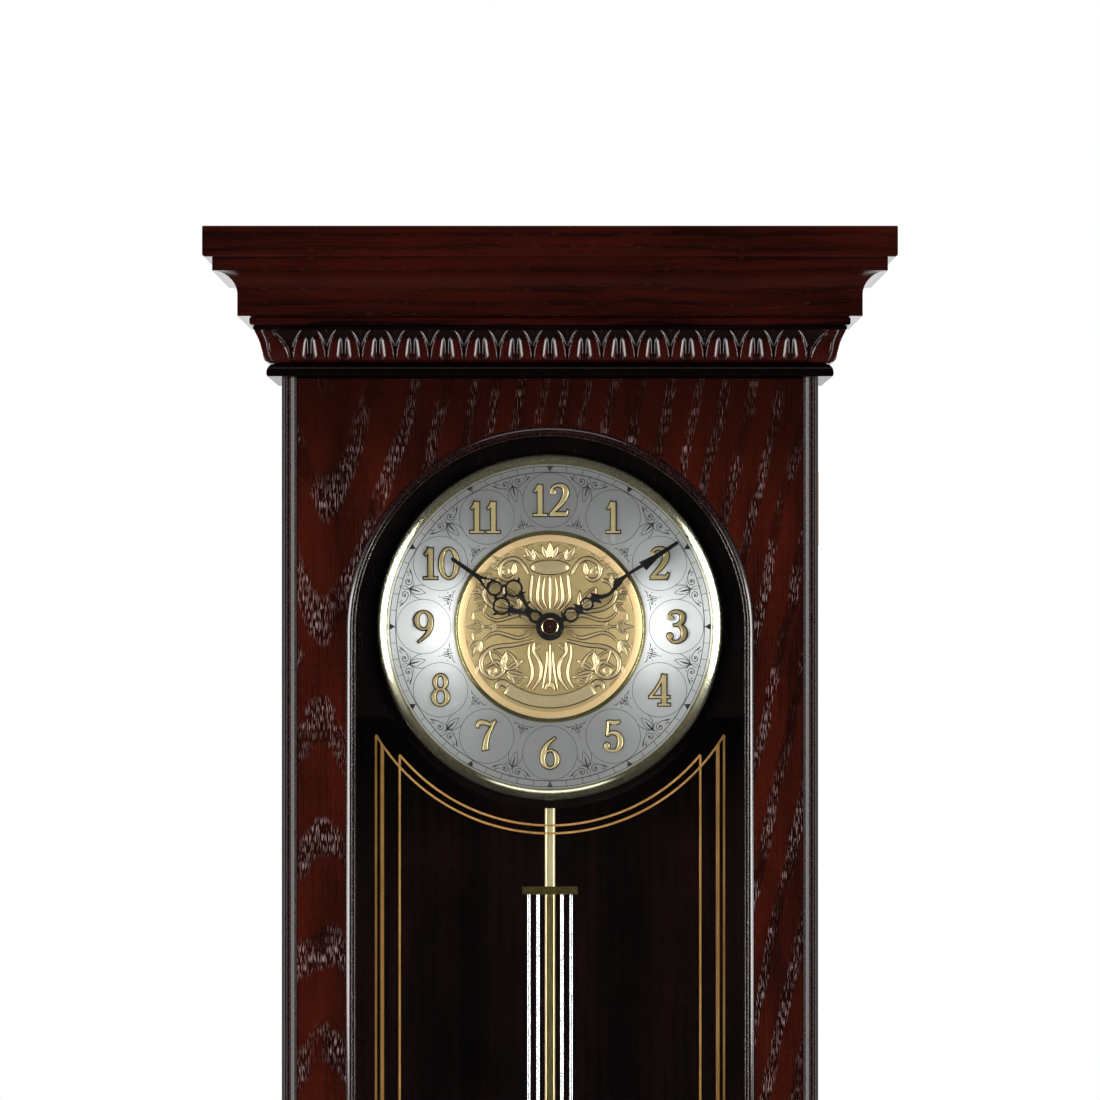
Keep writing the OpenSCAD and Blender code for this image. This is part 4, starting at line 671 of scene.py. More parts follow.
for points in ([(8.9, 81.9, 0.15), (8.3, 82.9, 0.5), (9.3, 83.4, 0.15)],
               [(0.1, 79.3, 0.3), (1.9, 76.6, 0.3), (1.5, 73.8, 0.3), (0.1, 70.6, 0.3)],
               [(0.5, 79.4, 0.3), (2.7, 76.9, 0.35), (3.8, 73.6, 0.3), (3.7, 71.6, 0.15)],
               [(0.2, 79.6, 0.6), (1.6, 78.6, 0.4), (3.4, 78.1, 0.3), (5.0, 78.6, 0.15)],
               [(0.1, 80.0, 0.3), (0.9, 82.0, 0.3), (0.5, 84.0, 0.15)],
               [(0.1, 57.2, 0.3), (1.3, 58.6, 0.4), (0.6, 60.4, 0.15)]):
    both(scroll, flow(points, 3), plate_y, ink_t)
trace(scroll, flow([(0, 80.6, 0.3), (0.1, 77.0, 0.9), (0, 73.4, 0.2)], 4), plate_y, ink_t)
trace(scroll, flow([(0, 56.2, 0.5), (0, 58.6, 0.6), (0, 61.8, 0.15)], 3), plate_y, ink_t)
for u, v, r in ((3.7, 81.2, 0.5), (7.3, 82.2, 0.35), (0, 84.9, 0.35), (0, 62.6, 0.3), (2.1, 57.0, 0.4),
                (0, 55.6, 0.4), (3.4, 58.8, 0.28)):
    for side in (1, -1) if u else (1,):
        dot = arc(side * u, v, r, 0, 324, 9, 0)
        skin(scroll, [[scroll.verts.new((p * mm, y, dial_z + q * mm)) for p, q, w in dot]
                      for y in (plate_y - ink_t, plate_y)])
tracks = bmesh.new()
for r, w in ((track_r, 0.34), (track_in_r, 0.4)):
    trace(tracks, arc(0, 0, r, 90, -268, 179, w), plate_y, ink_t, FLAT, True)
units = [dial_unit(name, mesh) for name, mesh in (
    ("tick", tick), ("arrow", arrow), ("hour_unit", hour_ring), ("scroll", scroll))]
turns = (("ticks", 60, 0), ("arrows", 12, 0), ("hours", 12, 0), ("scrolls", 12, 15))
printed = join("dial_printing", ink, *[
    row(name, unit, count, ink, Start=(0, 0, dial_z), Turn_each=math.radians(360 / count),
        First_turn=math.radians(first))
    for unit, (name, count, first) in zip(units, turns)], keep("tracks", tracks, ink))
for unit in units:
    bpy.data.objects.remove(unit)
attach(printed, "case")

# Medallion: stamped brass disc in the middle of the dial, lacquered matt, with a polished rim. The
# stamped ornament is a traditional arabesque of stems, leaves and scrolls, with a plain oval and ribbon.
gold_y = plate_y - 0.001
matt, shader = finish("matt gilt", Metallic=0.9)
coords = coords_of(shader)
radius = dial_radius(coords)
rim = radius.step(50.1, 50.3)
stipple = noise(coords, 1500.0)
banded = blend(radius.step(46.6, 46.9), blend(stipple, (172, 151, 104), (202, 179, 129)), (228, 198, 148))
set_inputs(shader, Base_Color=blend(rim, banded, (150, 140, 98)),
           Roughness=stipple * 0.15 + 0.46 - rim * 0.33, Normal=bump(stipple, 0.35, 0.00008))
dial_disc = sharp(lathe("medallion_disc", [
    (hole_r, gold_y), (0.0466, gold_y), (0.0470, gold_y - 0.0002), (0.0500, gold_y - 0.0002),
    (0.0503, gold_y - 0.00045), (0.0508, gold_y - 0.0006), (0.0514, gold_y - 0.0005),
    (0.0526, plate_y - 0.0002), (0.0526, plate_y), (hole_r, plate_y)], matt), 50)
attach(dial_disc, "case")
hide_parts("medallion")

stamped, shader = finish("stamped gilt", Metallic=0.92, Roughness=0.38)
coords = coords_of(shader)
# Painted shade: the low sides of each raised line, and the low borders round them, are brown; the tops are
# pale gilt.
painted_shade_low = split(coords)[1].step(gold_y - 0.00032, gold_y - 0.00016)
gold = blend(noise(coords, 600.0), (238, 208, 156), (254, 236, 192))
set_inputs(shader, Base_Color=blend(painted_shade_low, gold, (96, 64, 28)))
relief = bmesh.new()
raise_by, border_t = 0.00042, 0.00008


def stamp(line, mirrored=True, rise=raise_by, section=ROUND, closed=False, border=0.6):
    """A raised line on a low border."""
    for way in (1, -1) if mirrored else (1,):
        if border:
            trace(relief, [(way * u, v, w + border) for u, v, w in line], gold_y, border_t, FLAT, closed)
        trace(relief, [(way * u, v, w) for u, v, w in line], gold_y, rise, section, closed)


def petal(u, v, angle, size, width, mirrored=True):
    """A leaf from (u, v) along the angle in degrees, with a sunk vein."""
    c, s = math.cos(math.radians(angle)), math.sin(math.radians(angle))
    rim = [(u + size * t * c, v + size * t * s, w * width + 0.5) for t, w in
           ((-0.03, 0.2), (0.12, 0.6), (0.32, 1), (0.55, 0.92), (0.8, 0.5), (1.04, 0.1))]
    (both if mirrored else trace)(relief, rim, gold_y, border_t)
    spine = ((0, 0.3), (0.12, 0.6 * width), (0.32, width), (0.55, 0.92 * width), (0.8, 0.5 * width),
             (1, 0.15))
    for shift in (0.27, -0.27):
        stamp([(u + size * t * c - shift * w * s, v + size * t * s + shift * w * c, max(0.5 * w, 0.3))
               for t, w in spine], mirrored, border=0)


def husk(u, v, angle, size, width):
    """The outline of a leaf whose middle is left as ground."""
    c, s = math.cos(math.radians(angle)), math.sin(math.radians(angle))
    line = []
    for k in range(24):
        t = 0.5 - 0.5 * math.cos(math.pi * k / 12)
        w = 0.5 * width * math.sin(math.pi * t) ** 0.8 * (1 if k < 12 else -1)
        line.append((u + size * t * c - w * s, v + size * t * s + w * c, 1.05))
    stamp(line, closed=True)


def spray(u, v, angle, size, width, spread=38):
    """Three leaves from one point, the middle one the longest."""
    for turn, share in ((spread, 0.75), (-spread, 0.75), (0, 1.0)):
        petal(u, v, angle + turn, size * share, width * share)


stems = [
    [(8, 0, 0.9), (25, 0, 1.2), (38, 0, 1.0), (45.6, 0, 0.5)],
    [(9.0, -7.5, 1.0), (16.7, -9.4, 1.9), (22.2, -10.3, 2.1), (27.4, -10.7, 2.2), (32.1, -12.0, 2.3),
     (35.8, -14.9, 2.3), (37.8, -18.7, 2.3), (37.5, -22.9, 2.2), (35.3, -26.2, 2.2), (31.8, -27.9, 2.1),
     (28.2, -27.2, 2.1), (25.6, -24.6, 2.2), (26.2, -21.4, 2.0), (29.4, -19.2, 1.9), (32.2, -20.6, 1.6),
     (35.4, -22.4, 0.8)],
    [(24.6, -13.0, 0.6), (21.0, -15.6, 1.3), (18.4, -19.0, 1.3), (17.4, -22.4, 0.6)],
    [(8.6, -8.6, 1.2), (8.8, -13.6, 1.8), (6.0, -18.2, 1.8), (4.8, -22.6, 1.8), (5.6, -28.4, 1.8),
     (9.6, -34.4, 1.0)],
    [(11.2, -9.4, 0.8), (11.6, -15.4, 1.4), (9.9, -21.8, 1.6), (10.0, -28.0, 1.6), (12.8, -33.6, 0.8)],
    [(1.6, -13.0, 0.8), (1.9, -20.0, 1.2), (2.8, -27.0, 1.3), (4.2, -34.4, 0.8)],
    [(9.0, 8.6, 1.0), (15.4, 8.6, 1.9), (22.6, 8.6, 2.1), (29.4, 10.0, 2.2), (34.2, 13.6, 2.3),
     (35.8, 18.6, 2.2), (33.0, 23.6, 2.0), (28.6, 25.6, 1.8)],
    [(12.0, 29.0, 1.4), (13.4, 32.0, 1.9), (16.2, 35.6, 2.0), (19.6, 37.2, 2.1), (23.6, 36.4, 2.1),
     (26.8, 33.6, 2.1), (27.6, 29.6, 2.1), (25.8, 26.4, 2.0), (22.4, 25.6, 1.8), (19.8, 27.6, 1.4)],
    [(1.8, 10.4, 0.8), (3.6, 14.6, 1.3), (3.8, 20.6, 1.4), (2.8, 27.0, 0.8)],
    [(3.8, 9.4, 1.0), (6.8, 14.0, 1.8), (6.6, 20.8, 1.8), (5.6, 28.0, 1.0)],
    [(5.8, 8.8, 0.8), (10.6, 14.6, 1.6), (10.4, 21.6, 1.7), (9.6, 28.4, 1.4)],
    [(23.4, -32.2, 3.2), (25.8, -30.6, 3.6), (28.4, -31.4, 3.0), (29.4, -34.0, 1.6)]]
for way in (1, -1):
    stems.append([(13.0, 4.6 * way, 0.9), (17.5, 6.2 * way, 1.7), (23.5, 4.6 * way, 1.8),
                  (28.5, 3.4 * way, 1.6), (33.0, 4.6 * way, 1.4), (36.0, 7.4 * way, 0.8)])
for points in stems:
    stamp(flow(points, 5))
stamp(flow([(0, -9.2, 1.0), (0, -20, 1.7), (0, -31.0, 1.3)], 5), mirrored=False)
stamp(flow([(0, 9.4, 1.0), (0, 18, 1.7), (0, 27.6, 1.3)], 5), mirrored=False)
stamp(arc(31.0, -24.2, 2.6, -100, 240, 18, 1.5, 1.6, 1.0), border=0)
stamp(arc(24.4, 30.2, 2.4, 60, 380, 18, 1.5, 1.6, 1.0), border=0)
for blade in ((10.0, 2.4, 38, 5.6, 2.2), (10.0, -2.4, -38, 5.6, 2.2), (26.0, -22.0, 104, 8.8, 3.6),
             (23.6, -23.6, 150, 10.2, 3.6), (23.8, -25.0, -166, 12.0, 3.4), (23.0, -26.0, -128, 5.6, 2.6),
             (38.0, -7.6, -62, 9.6, 3.0), (38.0, -7.6, -40, 8.0, 3.0), (38.0, -7.6, -88, 7.0, 3.0),
             (39.6, -21.6, -76, 5.0, 2.2), (4.6, -9.6, -38, 5.4, 2.4), (0.4, -30.4, -62, 5.0, 2.2),
             (15.0, -28.8, -20, 5.6, 2.6), (14.6, -24.4, 20, 4.4, 2.0), (42.4, -3.4, -96, 4.6, 1.8),
             (42.4, 3.4, 96, 4.6, 1.8), (12.6, -31.6, -30, 4.0, 1.8), (20.0, 28.2, 96, 7.4, 3.2),
             (28.4, 31.0, 40, 6.4, 2.6), (30.4, 27.4, 10, 6.0, 2.6), (27.2, 36.6, 24, 6.0, 2.2),
             (17.8, 10.4, 26, 11.8, 3.6), (16.6, 9.8, 92, 9.6, 3.2), (0, 37.6, 90, 8.8, 3.8, False),
             (1.4, 37.4, 66, 7.6, 2.8), (3.6, 37.2, 40, 6.0, 2.4)):
    petal(*blade)
for blades in ((36.5, 0, 0, 8.6, 3.2), (29.5, 0, 0, 5.0, 2.2, 50), (33.6, 23.0, 52, 8.4, 3.0),
               (36.2, 17.0, 14, 7.6, 2.8), (35.0, 12.0, -32, 6.6, 2.6), (8.6, 36.6, 52, 8.6, 3.2, 30)):
    spray(*blades)
husk(24.2, -23.4, 50, 13.6, 5.2)
husk(17.4, 9.6, 56, 13.8, 5.4)
for start, end in ((9, 21), (26, 35), (41, 59), (64, 79), (100, 118), (122, 137)):
    both(relief, arc(0, 0, 45.9, 90 - start, 90 - end, (end - start) // 3, 0.6), gold_y, 0.0003, ROUND)
oval_v = 32.4
field = [(u, oval_v, 6.8 * math.sqrt(1 - (u / 10.1) ** 2)) for u in range(-10, 11)]
angles = [k * math.pi / 24 for k in range(48)]
oval = [(10.2 * math.cos(a), oval_v + 3.5 * math.sin(a), 0.7) for a in angles]
stamp(field, mirrored=False, rise=0.00036, section=WIDE, border=0)
stamp(oval, mirrored=False, rise=0.0005, closed=True, border=0.9)
stamp(arc(0, 0, 41.1, -125, -55, 35, 6.6), mirrored=False, rise=0.0004, section=WIDE, border=0.8)
stamping = keep("medallion_relief", relief, stamped)
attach(stamping, "case")

# Bezel: spun brass ring, polished and lacquered. Its back lies on the dial board, and its sloping
# face covers the plate's edge.
gilt, shader = finish("polished gilt", Metallic=1.0)
wear = noise(coords_of(shader), 300.0, 3.0)
set_inputs(shader, Base_Color=blend(wear, (228, 222, 188), (242, 238, 212)), Roughness=wear * 0.08 + 0.1)
bezel = sharp(lathe("spun_bezel", [
    (0.0950, plate_back), (0.0950, -0.0665), (0.0948, -0.0671), (0.09435, -0.0676), (0.0938, -0.0678),
    (0.0933, -0.0677), (0.0928, -0.0675), (0.0919, -0.06712), (0.0909, -0.06664), (0.0900, -0.06612),
    (0.0893, -0.0656), (0.0888, -0.0650), (0.0886, -0.0646), (0.0886, plate_y - 0.00001),
    (0.0921, plate_y - 0.00001), (0.0921, plate_back)], gilt), 50)
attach(bezel, "case")
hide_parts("bezel")

# Hour figures: cut from brass sheet, their edges rounded over and gilt, and pinned to the dial plate.
# Their foot is dark as painted shade, and a thin dark sheet under each is a painted shadow.
yellow, shader = finish("yellow gilt", Metallic=0.7, Roughness=0.3)
coords = coords_of(shader)
gold = blend(noise(coords, 400.0), (240, 212, 146), (254, 234, 180))
# Painted shade: the foot of each figure, next to the plate, is dark brown.
painted_shade_foot = split(coords)[1].step(plate_y - 0.00105, plate_y - 0.00095)
set_inputs(shader, Base_Color=blend(painted_shade_foot, gold, (52, 32, 12)))


def front_loops(mesh, front):
    """The closed outlines of the faces that lie in front, each as a list of (x, z)."""
    flat = {f for f in mesh.faces if all(abs(v.co.y - front) < 0.00001 for v in f.verts)}
    links = {}
    for edge in mesh.edges:
        if sum(f in flat for f in edge.link_faces) == 1:
            a, b = (v.index for v in edge.verts)
            links.setdefault(a, []).append(b)
            links.setdefault(b, []).append(a)
    mesh.verts.ensure_lookup_table()
    left = set(links)
    loops = []
    while left:
        first = left.pop()
        loop, here = [first], links[first][0]
        while here != first and here in left:
            left.discard(here)
            loop.append(here)
            here = next((n for n in links[here] if n in left), first)
        loops.append([(mesh.verts[index].co.x, mesh.verts[index].co.z) for index in loop])
    return loops


def rounded(name, node, material, edge, spread=0.0, thin=None):
    """Redraws a sheet piece from its front outline, its edge rounded over or, wider, as a thin flat sheet at
    its back that serves as a painted shadow.
    """
    source = bmesh.new()
    source.from_mesh(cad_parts[node].data)
    bmesh.ops.remove_doubles(source, verts=source.verts, dist=0.000002)
    front, back = (pick(v.co.y for v in source.verts) for pick in (min, max))
    curve = bpy.data.curves.new(name, "CURVE")
    curve.dimensions = "2D"
    curve.fill_mode = "BOTH"
    for loop in front_loops(source, front):
        spline = curve.splines.new("POLY")
        spline.points.add(len(loop) - 1)
        for point, (x, z) in zip(spline.points, loop):
            point.co = (x, z, 0, 1)
        spline.use_cyclic_u = True
    source.free()
    front = back - thin if thin else front
    curve.bevel_depth = edge
    curve.bevel_resolution = 2
    curve.offset = spread - edge
    curve.extrude = max((back - front) / 2 - edge, 0.00002)
    mesh = bmesh.new()
    mesh.from_mesh(baked(in_scene(name + "_curve", curve), name))
    for vertex in mesh.verts:
        x, z, h = vertex.co
        vertex.co = (x, (front + back) / 2 - h, z)
    bmesh.ops.remove_doubles(mesh, verts=mesh.verts, dist=0.000001)
    return sharp(keep(name, mesh, material), 40)


figures = rounded("hour_figures", "numerals", yellow, 0.00042)
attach(figures, "case")
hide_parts("numerals")
# Painted shadow: a thin dark brown sheet, half a millimetre wider than each figure, lies under it on the
# plate.
painted_shadow_brown, shader = finish("figure painted shadow", Roughness=0.45)
set_inputs(shader, Base_Color=blend(noise(coords_of(shader), 500.0), (14, 9, 5), (32, 22, 12)))
figure_shadow_sheet = rounded("figure_feet", "numerals", painted_shadow_brown, 0.0, spread=0.0005, thin=0.0003)
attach(figure_shadow_sheet, "case")

# Hands: pierced from thin steel sheet and painted black, pressed on the hour pipe and the minute
# shaft. A domed dark brown cap with a thin gilt ring covers the nut.
enamel, shader = finish("black enamel", Specular_IOR_Level=0.25)
dust = noise(coords_of(shader), 500.0, 3.0)
set_inputs(shader, Base_Color=blend(dust, (8, 8, 8), (24, 23, 22)), Roughness=dust * 0.25 + 0.32)
for name, node, body in (("minute_hand_pierced", "minute_hand", "minute"),
                         ("hour_hand_pierced", "hour_hand", "hour")):
    hand = rounded(name, node, enamel, 0.00012)
    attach(hand, body)
    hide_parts(node)

cap, shader = finish("brown cap", Roughness=0.18)
coords = coords_of(shader)
radius = dial_radius(coords)
ring = radius.step(4.1, 4.2) * (1.0 - radius.step(4.4, 4.46))
gilded = ring.larger(1.0 - radius.step(0.25, 0.45))
brown = blend(noise(coords, 800.0), (26, 14, 14), (44, 24, 22))
set_inputs(shader, Base_Color=blend(gilded, brown, (226, 196, 134)), Metallic=gilded)
dress(cap, "hand_nut")

# Movement: two-part case of black plastic with a brass bush through the dial, white plastic and
# brass wheels, a circuit board, and two cells in a tray under a sliding cover.
texture, (size,), texture_out = new_group("moulded grain", [("Scale", "NodeSocketFloat", 900.0)],
                                          ("Shade", "Height"))
coords = put(texture, "ShaderNodeTexCoord", out="Object")
fine = noise(coords, size)
set_inputs(texture_out, Shade=fine * 0.5 + noise(coords, 35.0, 3.0) * 0.5, Height=fine)


def moulded(name, dark, light, rough=0.45, metallic=0.0, scale=900.0, relief=0.15):
    """An even finish with a fine grain, for plastics, paints and plain metals."""
    made, shader = finish(name, Metallic=metallic)
    shade, height = put(shader.id_data, "ShaderNodeGroup", settings={"node_tree": texture}, Scale=scale,
                        out=("Shade", "Height"))
    set_inputs(shader, Base_Color=blend(shade.step(0.3, 0.7), dark, light),
               Roughness=shade * 0.12 + (rough - 0.06), Normal=bump(height, relief, 0.00005))
    return made


black_plastic = moulded("black plastic", (18, 18, 19), (34, 34, 36), 0.5)
white_plastic = moulded("white plastic", (206, 202, 190), (228, 224, 214), 0.4)
bright_brass = moulded("bright brass", (196, 168, 92), (222, 196, 122), 0.22, 1.0, 300.0, 0.05)
plain_steel = moulded("plain steel", (128, 128, 126), (166, 166, 164), 0.35, 1.0, 500.0, 0.1)
copper = moulded("copper winding", (150, 78, 44), (186, 104, 62), 0.3, 1.0, 1500.0, 0.3)
green_board = moulded("circuit board green", (24, 66, 36), (38, 92, 52), 0.35)
cell_wrap = moulded("cell wrapper", (22, 22, 24), (36, 36, 40), 0.25)
magnet_grey = moulded("magnet grey", (70, 70, 72), (96, 96, 98), 0.4, 0.8)
dress(black_plastic, "movement_front", "movement_rear", "motor_module", "battery_cover", "set_knob",
      "volume_dial", "chime_selector", "pendulum_hanger")
dress(white_plastic, "catch_magnet", "hour_wheel", "minute_wheel", "motor_pinion")
dress(bright_brass, "bush_nut", "minute_shaft")
dress(green_board, "circuit_board")
dress(cell_wrap, "battery_cells")
dress(plain_steel, "battery_contacts", "pendulum_pivot")
dress(copper, "drive_coil")
dress(magnet_grey, "drive_magnet")

# Loudspeaker: a pressed steel frame and a magnet, with a black paper cone. Screwed on the inside of
# the back panel, behind its slots.
paper = moulded("speaker black", (14, 14, 15), (30, 30, 32), 0.7, 0.0, 1400.0, 0.4)
dress(paper, "speaker")

# Pendulum: brass strip with folded edges and brass crossbars, four chromed rods between them, and
# a spun brass bob over an iron weight. It hangs on a pin in the movement's ears.
fold_in, fold_out = 0.0017, 0.0023
dull_low, dull_top = -0.2935, -0.2875
folded, shader = finish("folded brass", Metallic=0.75)
coords = coords_of(shader)
x, y, z = split(coords)
fold = abs(x).step(fold_in, fold_out)
dull_part = (1.0 - z.step(dull_low, dull_top)) * (1.0 - fold)
worn = noise(put(coords.tree, "ShaderNodeMapping", Vector=coords, Scale=(1, 1, 0.2)), 420.0, 4.0)
bright, dull = blend(worn, (234, 212, 154), (252, 238, 190)), blend(worn, (92, 82, 44), (148, 134, 84))
set_inputs(shader, Base_Color=blend(dull_part, bright, dull), Roughness=worn * 0.2 + 0.3,
           Normal=bump(fold, 0.6, 0.0004))
dress(folded, "pendulum_rod")
dress(bright_brass, "crossbars", "bob_shell", "rating_nut")
chrome = moulded("chrome", (206, 208, 210), (236, 238, 240), 0.12, 1.0, 300.0, 0.02)
dress(chrome, "silver_rods")
dress(magnet_grey, "bob_weight")

# Fixings: steel wood screws in the case, small steel screws in the movement, and the steel hanger
# plate with its keyhole, let into the back.
dress(plain_steel, "screws", "hanger_plate")

# Door: oak veneer on board with plain-sawn figure, the stain wiped back and the pores filled paler.
# Moulded strips cover its upright edges, and it hangs on two brass butt hinges at the right.
# The door's figure darkens and its flecks fade towards the top, as a painted shadow of the cornice.
door_oak = oak("stained oak door", (26, 6, 3), (61, 16, 7), (148, 124, 122), arch=1.0, flecks=0.95)
dress(door_oak, "door_panel")


def dark_stain(name, coat, shine, relief):
    """Nearly black stain on milled wood, dull on the outermost band of the door."""
    made, shader = finish(name, Coat_Weight=coat, Coat_Roughness=0.12, Specular_IOR_Level=shine)
    coords = coords_of(shader)
    lines = noise(put(coords.tree, "ShaderNodeMapping", Vector=coords, Scale=(1400, 1400, 700)), 1.0)
    outer = abs(split(coords)[0]).step(half - 0.0024, half - 0.0021)
    stained = blend(lines.step(0.35, 0.7), (12, 4, 4), (44, 18, 15))
    set_inputs(shader, Base_Color=blend(outer, stained, (24, 19, 16)),
               Roughness=lines * 0.25 + (outer * 0.35 + 0.12), Normal=bump(lines, relief, 0.00012))
    return made


edge_dark = dark_stain("dark stained edge", 0.18, 0.14, 0.6)
varnished = dark_stain("varnished moulding", 0.9, 0.4, 0.25)
dress(edge_dark, "glass_beads")
dress(bright_brass, "hinge_case_leaves", "hinge_pins", "hinge_door_leaves")
dress(plain_steel, "hinge_door_screws", "catch_plate")
strip_face = [(0.0, -2.9), (0.15, -1.9), (0.45, -1.1), (0.95, -0.5), (1.5, -0.15), (2.1, 0.0), (2.25, -0.4),
              (2.6, -0.5), (2.9, -0.25), (3.1, -0.2), (4.4, -0.2), (4.6, -0.3), (4.85, -0.6), (5.0, -0.6),
              (5.5, -0.32), (6.1, 0.03), (6.7, 0.36), (7.1, 0.54), (7.5, 0.6), (7.9, 0.48), (8.15, 0.12),
              (8.3, -0.25), (8.6, 0.0)]
door_low, door_back_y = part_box("door_edge_strips")[0].z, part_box("door_edge_strips")[1].y
door_top = -0.0087
hinge_low, hinge_high = (corner.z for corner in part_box("hinge_door_leaves"))
hinge_h, hinge_gap, hinge_deep = 0.04, 0.0003, 0.0009
cuts = [(door_low, 0)]
for start in (hinge_low, hinge_high - hinge_h):
    low, high = start - hinge_gap, start + hinge_h + hinge_gap
    cuts += [(low, 0), (low, hinge_deep), (high, hinge_deep), (high, 0)]
cuts.append((door_top, 0))
mesh = bmesh.new()
for side in (-1, 1):
    rings = []
    for z, cut in cuts:
        back = door_back_y - (cut if side > 0 else 0)
        line = [(d, front_y - f * mm) for d, f in strip_face] + [(8.6, back), (0.0, back)]
        rings.append([mesh.verts.new((side * (half - d * mm), y, z)) for d, y in line])
    skin(mesh, rings)
bmesh.ops.remove_doubles(mesh, verts=mesh.verts, dist=0.0000005)
strips = sharp(keep("milled_edge_strips", mesh, edge_dark), 50)
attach(strips, "door")
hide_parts("door_edge_strips")

# Window moulding: one milled section led round the arch and down to the sill, mitred at the two
# lower corners, glued into the opening. A bold bead between a groove and a thin inner fillet.
window_low, window_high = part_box("arch_moulding")
moulding_w = 0.00495
arch_z = round(window_high.z - window_high.x, 5)
arch_r, sill_z = round(window_high.x - moulding_w, 5), round(window_low.z + moulding_w, 5)
glass_front, glass_back = (corner.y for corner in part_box("door_glass"))
moulding = [(5.0, front_y), (4.9, -0.1003), (4.75, -0.1000), (4.6, -0.1000), (4.3, -0.1003), (3.9, -0.1006),
            (3.5, -0.10086), (3.0, -0.1011), (2.5, -0.10126), (2.1, -0.1013), (1.8, -0.10125),
            (1.55, -0.1010), (1.4, -0.1004), (1.3, -0.0997), (1.15, -0.0994), (0.75, -0.0996),
            (0.35, -0.0998), (0.1, -0.0996), (0.0, -0.0991), (0.0, glass_front), (5.0, glass_front)]


def window_outline(out, steps=72):
    """The window's outline, so far outside its opening: up the right side, over and down the left."""
    r = arch_r + out
    turns = [math.pi * k / steps for k in range(steps + 1)]
    over = [(r * math.cos(a), arch_z + r * math.sin(a)) for a in turns]
    return [(r, sill_z - out), *over, (-r, sill_z - out)]


mesh = bmesh.new()
outlines = [[mesh.verts.new((x, y, z)) for x, z in window_outline(d * mm)] for d, y in moulding]
skin(mesh, list(zip(*outlines)), closed=True)
window = sharp(keep("window_moulding", mesh, varnished), 60)
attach(window, "door")
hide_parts("arch_moulding")


def swap_shader(shader, share, kind):
    """Shows another shader in place of the material's own, by the given share."""
    tree = shader.id_data
    mixed = put(tree, "ShaderNodeMixShader", share, Wire(shader.outputs[0]), put(tree, kind))
    set_inputs(tree.nodes["Material Output"], Surface=mixed)


# Glass: one clear pane of window glass, cut to the arch. It lies in a rebate behind the moulding and
# is held from behind by beads.
pane, shader = finish("clear glass", Base_Color=(0.97, 0.99, 0.985, 1), Roughness=0.0, IOR=1.45,
                      Transmission_Weight=1.0)
shadow_ray = put(shader.id_data, "ShaderNodeLightPath", out="Is Shadow Ray")
swap_shader(shader, shadow_ray, "ShaderNodeBsdfTransparent")
dress(pane, "door_glass")

# Pinstripes: three gold lines down each side of the pane and two arcs between them, screened on the
# back of the glass. The arcs follow the window's arch and pass behind the inner lines.
gold_paint = moulded("gold paint", (158, 112, 56), (196, 148, 84), 0.4, 0.35, 1100.0, 0.1)
stripe_back, stripe_t = glass_back + 0.00007, 0.00004
outer_arc, inner_arc, arc_w = 110.8, 106.5, 1.1
foot = (sill_z - arch_z) / mm + 8.0
stripes = bmesh.new()
for side in (-1, 1):
    for x, w, r in ((94.5, 1.15, outer_arc), (91.1, 1.9, outer_arc), (81.6, 1.15, inner_arc)):
        u_out, u_in = x + w / 2, x - w / 2
        points = [(u_out, foot), (u_out, -math.sqrt(r * r - u_out * u_out)),
                  (u_in, -math.sqrt(r * r - u_in * u_in)), (u_in, foot)]
        skin(stripes, [[stripes.verts.new((side * u * mm, y, arch_z + v * mm)) for u, v in points]
                       for y in (stripe_back - stripe_t, stripe_back)])
for r, reach in ((outer_arc, 95.0), (inner_arc, 82.1)):
    spread = math.degrees(math.asin(reach / r))
    trace(stripes, arc(0, 0, r - arc_w / 2, -90 - spread, -90 + spread, 80, arc_w), stripe_back,
          1.2 * stripe_t, centre_z=arch_z)
pinstripes = keep("pinstripes", stripes, gold_paint, smooth=False)
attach(pinstripes, "door")

# Stage: a plain pale floor, white away from the clock, two soft lamps at the sides and a weak one
# above. The world is white to the camera and dim in front, as in a dark studio.
floor_z = cad_low.z - 0.002
mesh = bmesh.new()
mesh.faces.new([mesh.verts.new((x, y, floor_z)) for x, y in ((-12, -1.5), (12, -1.5), (12, 12), (-12, 12))])
pale, shader = finish("pale floor", Roughness=0.8, Specular_IOR_Level=0.1)
coords = coords_of(shader)
set_inputs(shader, Base_Color=blend(noise(coords, 3.0), (233.6, 233.6, 233.6), (238.6, 238.6, 238.6)))
away = vector_maths("LENGTH", coords, out="Value").step(0.9, 1.8)
camera_ray = put(coords.tree, "ShaderNodeLightPath", out="Is Camera Ray")
swap_shader(shader, away * camera_ray, "ShaderNodeEmission")
floor = keep("floor", mesh, pale)
floor.visible_glossy = False
floor.visible_transmission = False
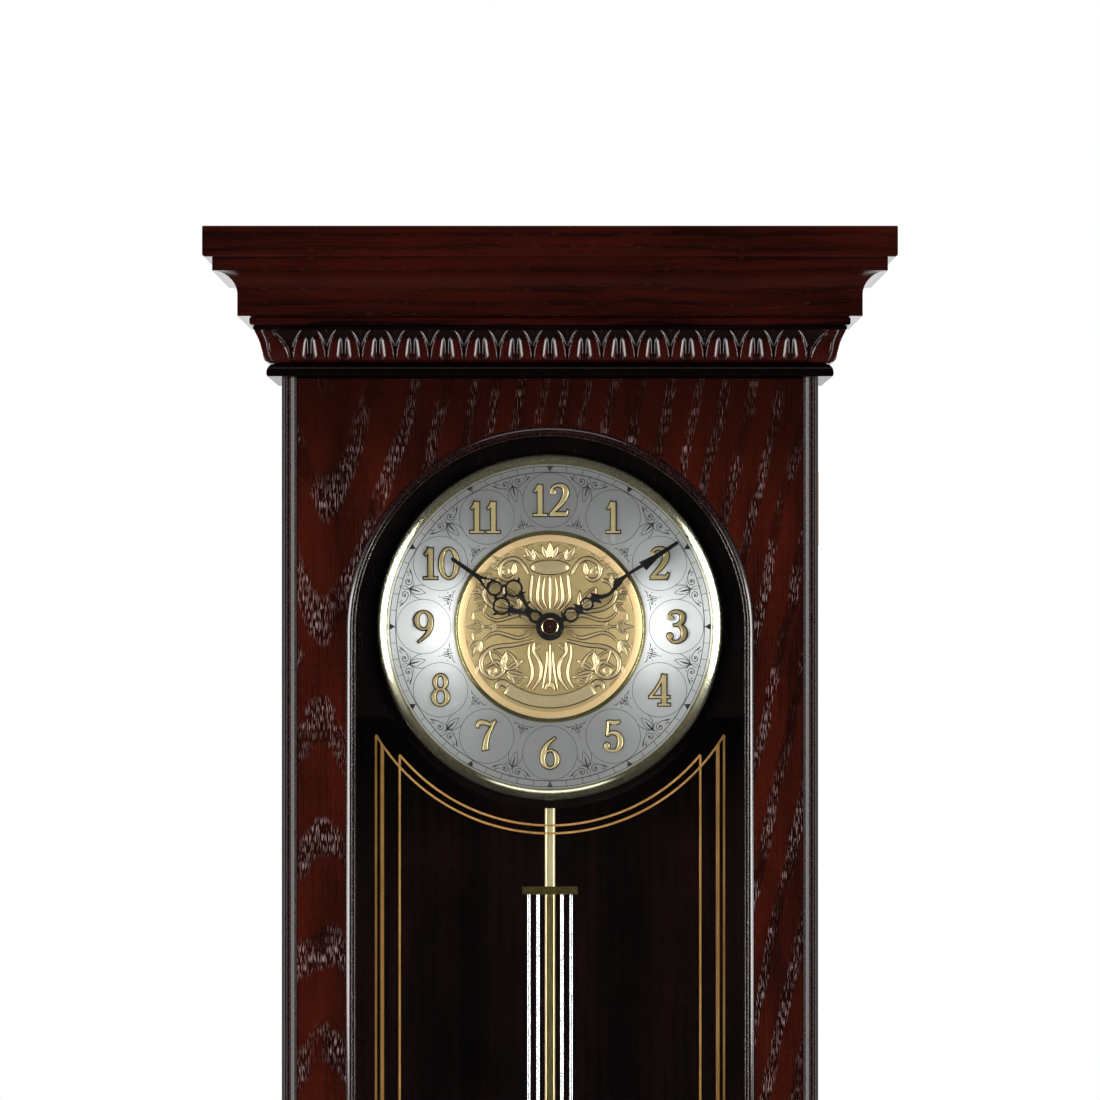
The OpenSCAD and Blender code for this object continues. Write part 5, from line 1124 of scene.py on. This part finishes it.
floor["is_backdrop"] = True


def lamp(name, place, target, width, height, power):
    light = bpy.data.lights.new(name, "AREA")
    light.shape = "RECTANGLE"
    light.size, light.size_y, light.energy = width, height, power
    holder = in_scene(name, light)
    holder.location = place
    holder.rotation_mode = "QUATERNION"
    holder.rotation_quaternion = (Vector(target) - Vector(place)).to_track_quat("-Z", "Y")


lamp("left_softbox", (-1.78, -1.29, -0.45), (0, 0, -0.2), 1.1, 1.5, 48)
lamp("right_softbox", (1.78, -1.29, -0.45), (0, 0, -0.2), 0.9, 1.5, 46)
lamp("top_softbox", (0, -1.2, 2.0), (0, -0.05, -0.2), 1.6, 0.8, 7)
world = bpy.data.worlds.new("studio")
bpy.context.scene.world = world
world.use_nodes = True
tree = world.node_tree
camera_ray, diffuse_ray, glossy_ray, through_ray = put(tree, "ShaderNodeLightPath", out=(
    "Is Camera Ray", "Is Diffuse Ray", "Is Glossy Ray", "Is Transmission Ray"))
x, y, z = split(put(tree, "ShaderNodeTexCoord", out="Generated"))
behind = y.step(0.1, 0.8) * 0.99 + 0.01
below = (z * -1.0).step(0.3, 0.9) * 0.07
level = 1.0 - abs(z + 0.1).step(0.3, 0.6)
sides = abs(x).step(0.6, 0.85) * level * 0.9
mirrored = glossy_ray.larger(through_ray) * behind.larger(below).larger(sides)
strength = camera_ray.larger(mirrored.larger(diffuse_ray * 0.4))
set_inputs(tree.nodes["Background"], Strength=strength, Color=(1, 1, 1, 1))

# Camera: a long lens straight on, at the height of the dial, with the view shifted a little up. Its
# focal length is the clock's distance in picture elements, taken over the picture's width.
sensor_mm, picture_w = 36.0, 1100
focal_elements, shift_elements = 4815, 66
lens = bpy.data.cameras.new("camera")
camera = in_scene("camera", lens)
camera.location = (0.0, -2.7005, -0.1376)
camera.rotation_euler = (math.pi / 2, 0, 0)
lens.sensor_width = sensor_mm
lens.lens = sensor_mm * focal_elements / picture_w
lens.shift_y = shift_elements / picture_w
lens.clip_start, lens.clip_end = 0.1, 60
bpy.context.scene.camera = camera
bpy.context.scene.view_settings.view_transform = "Standard"
low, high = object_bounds()
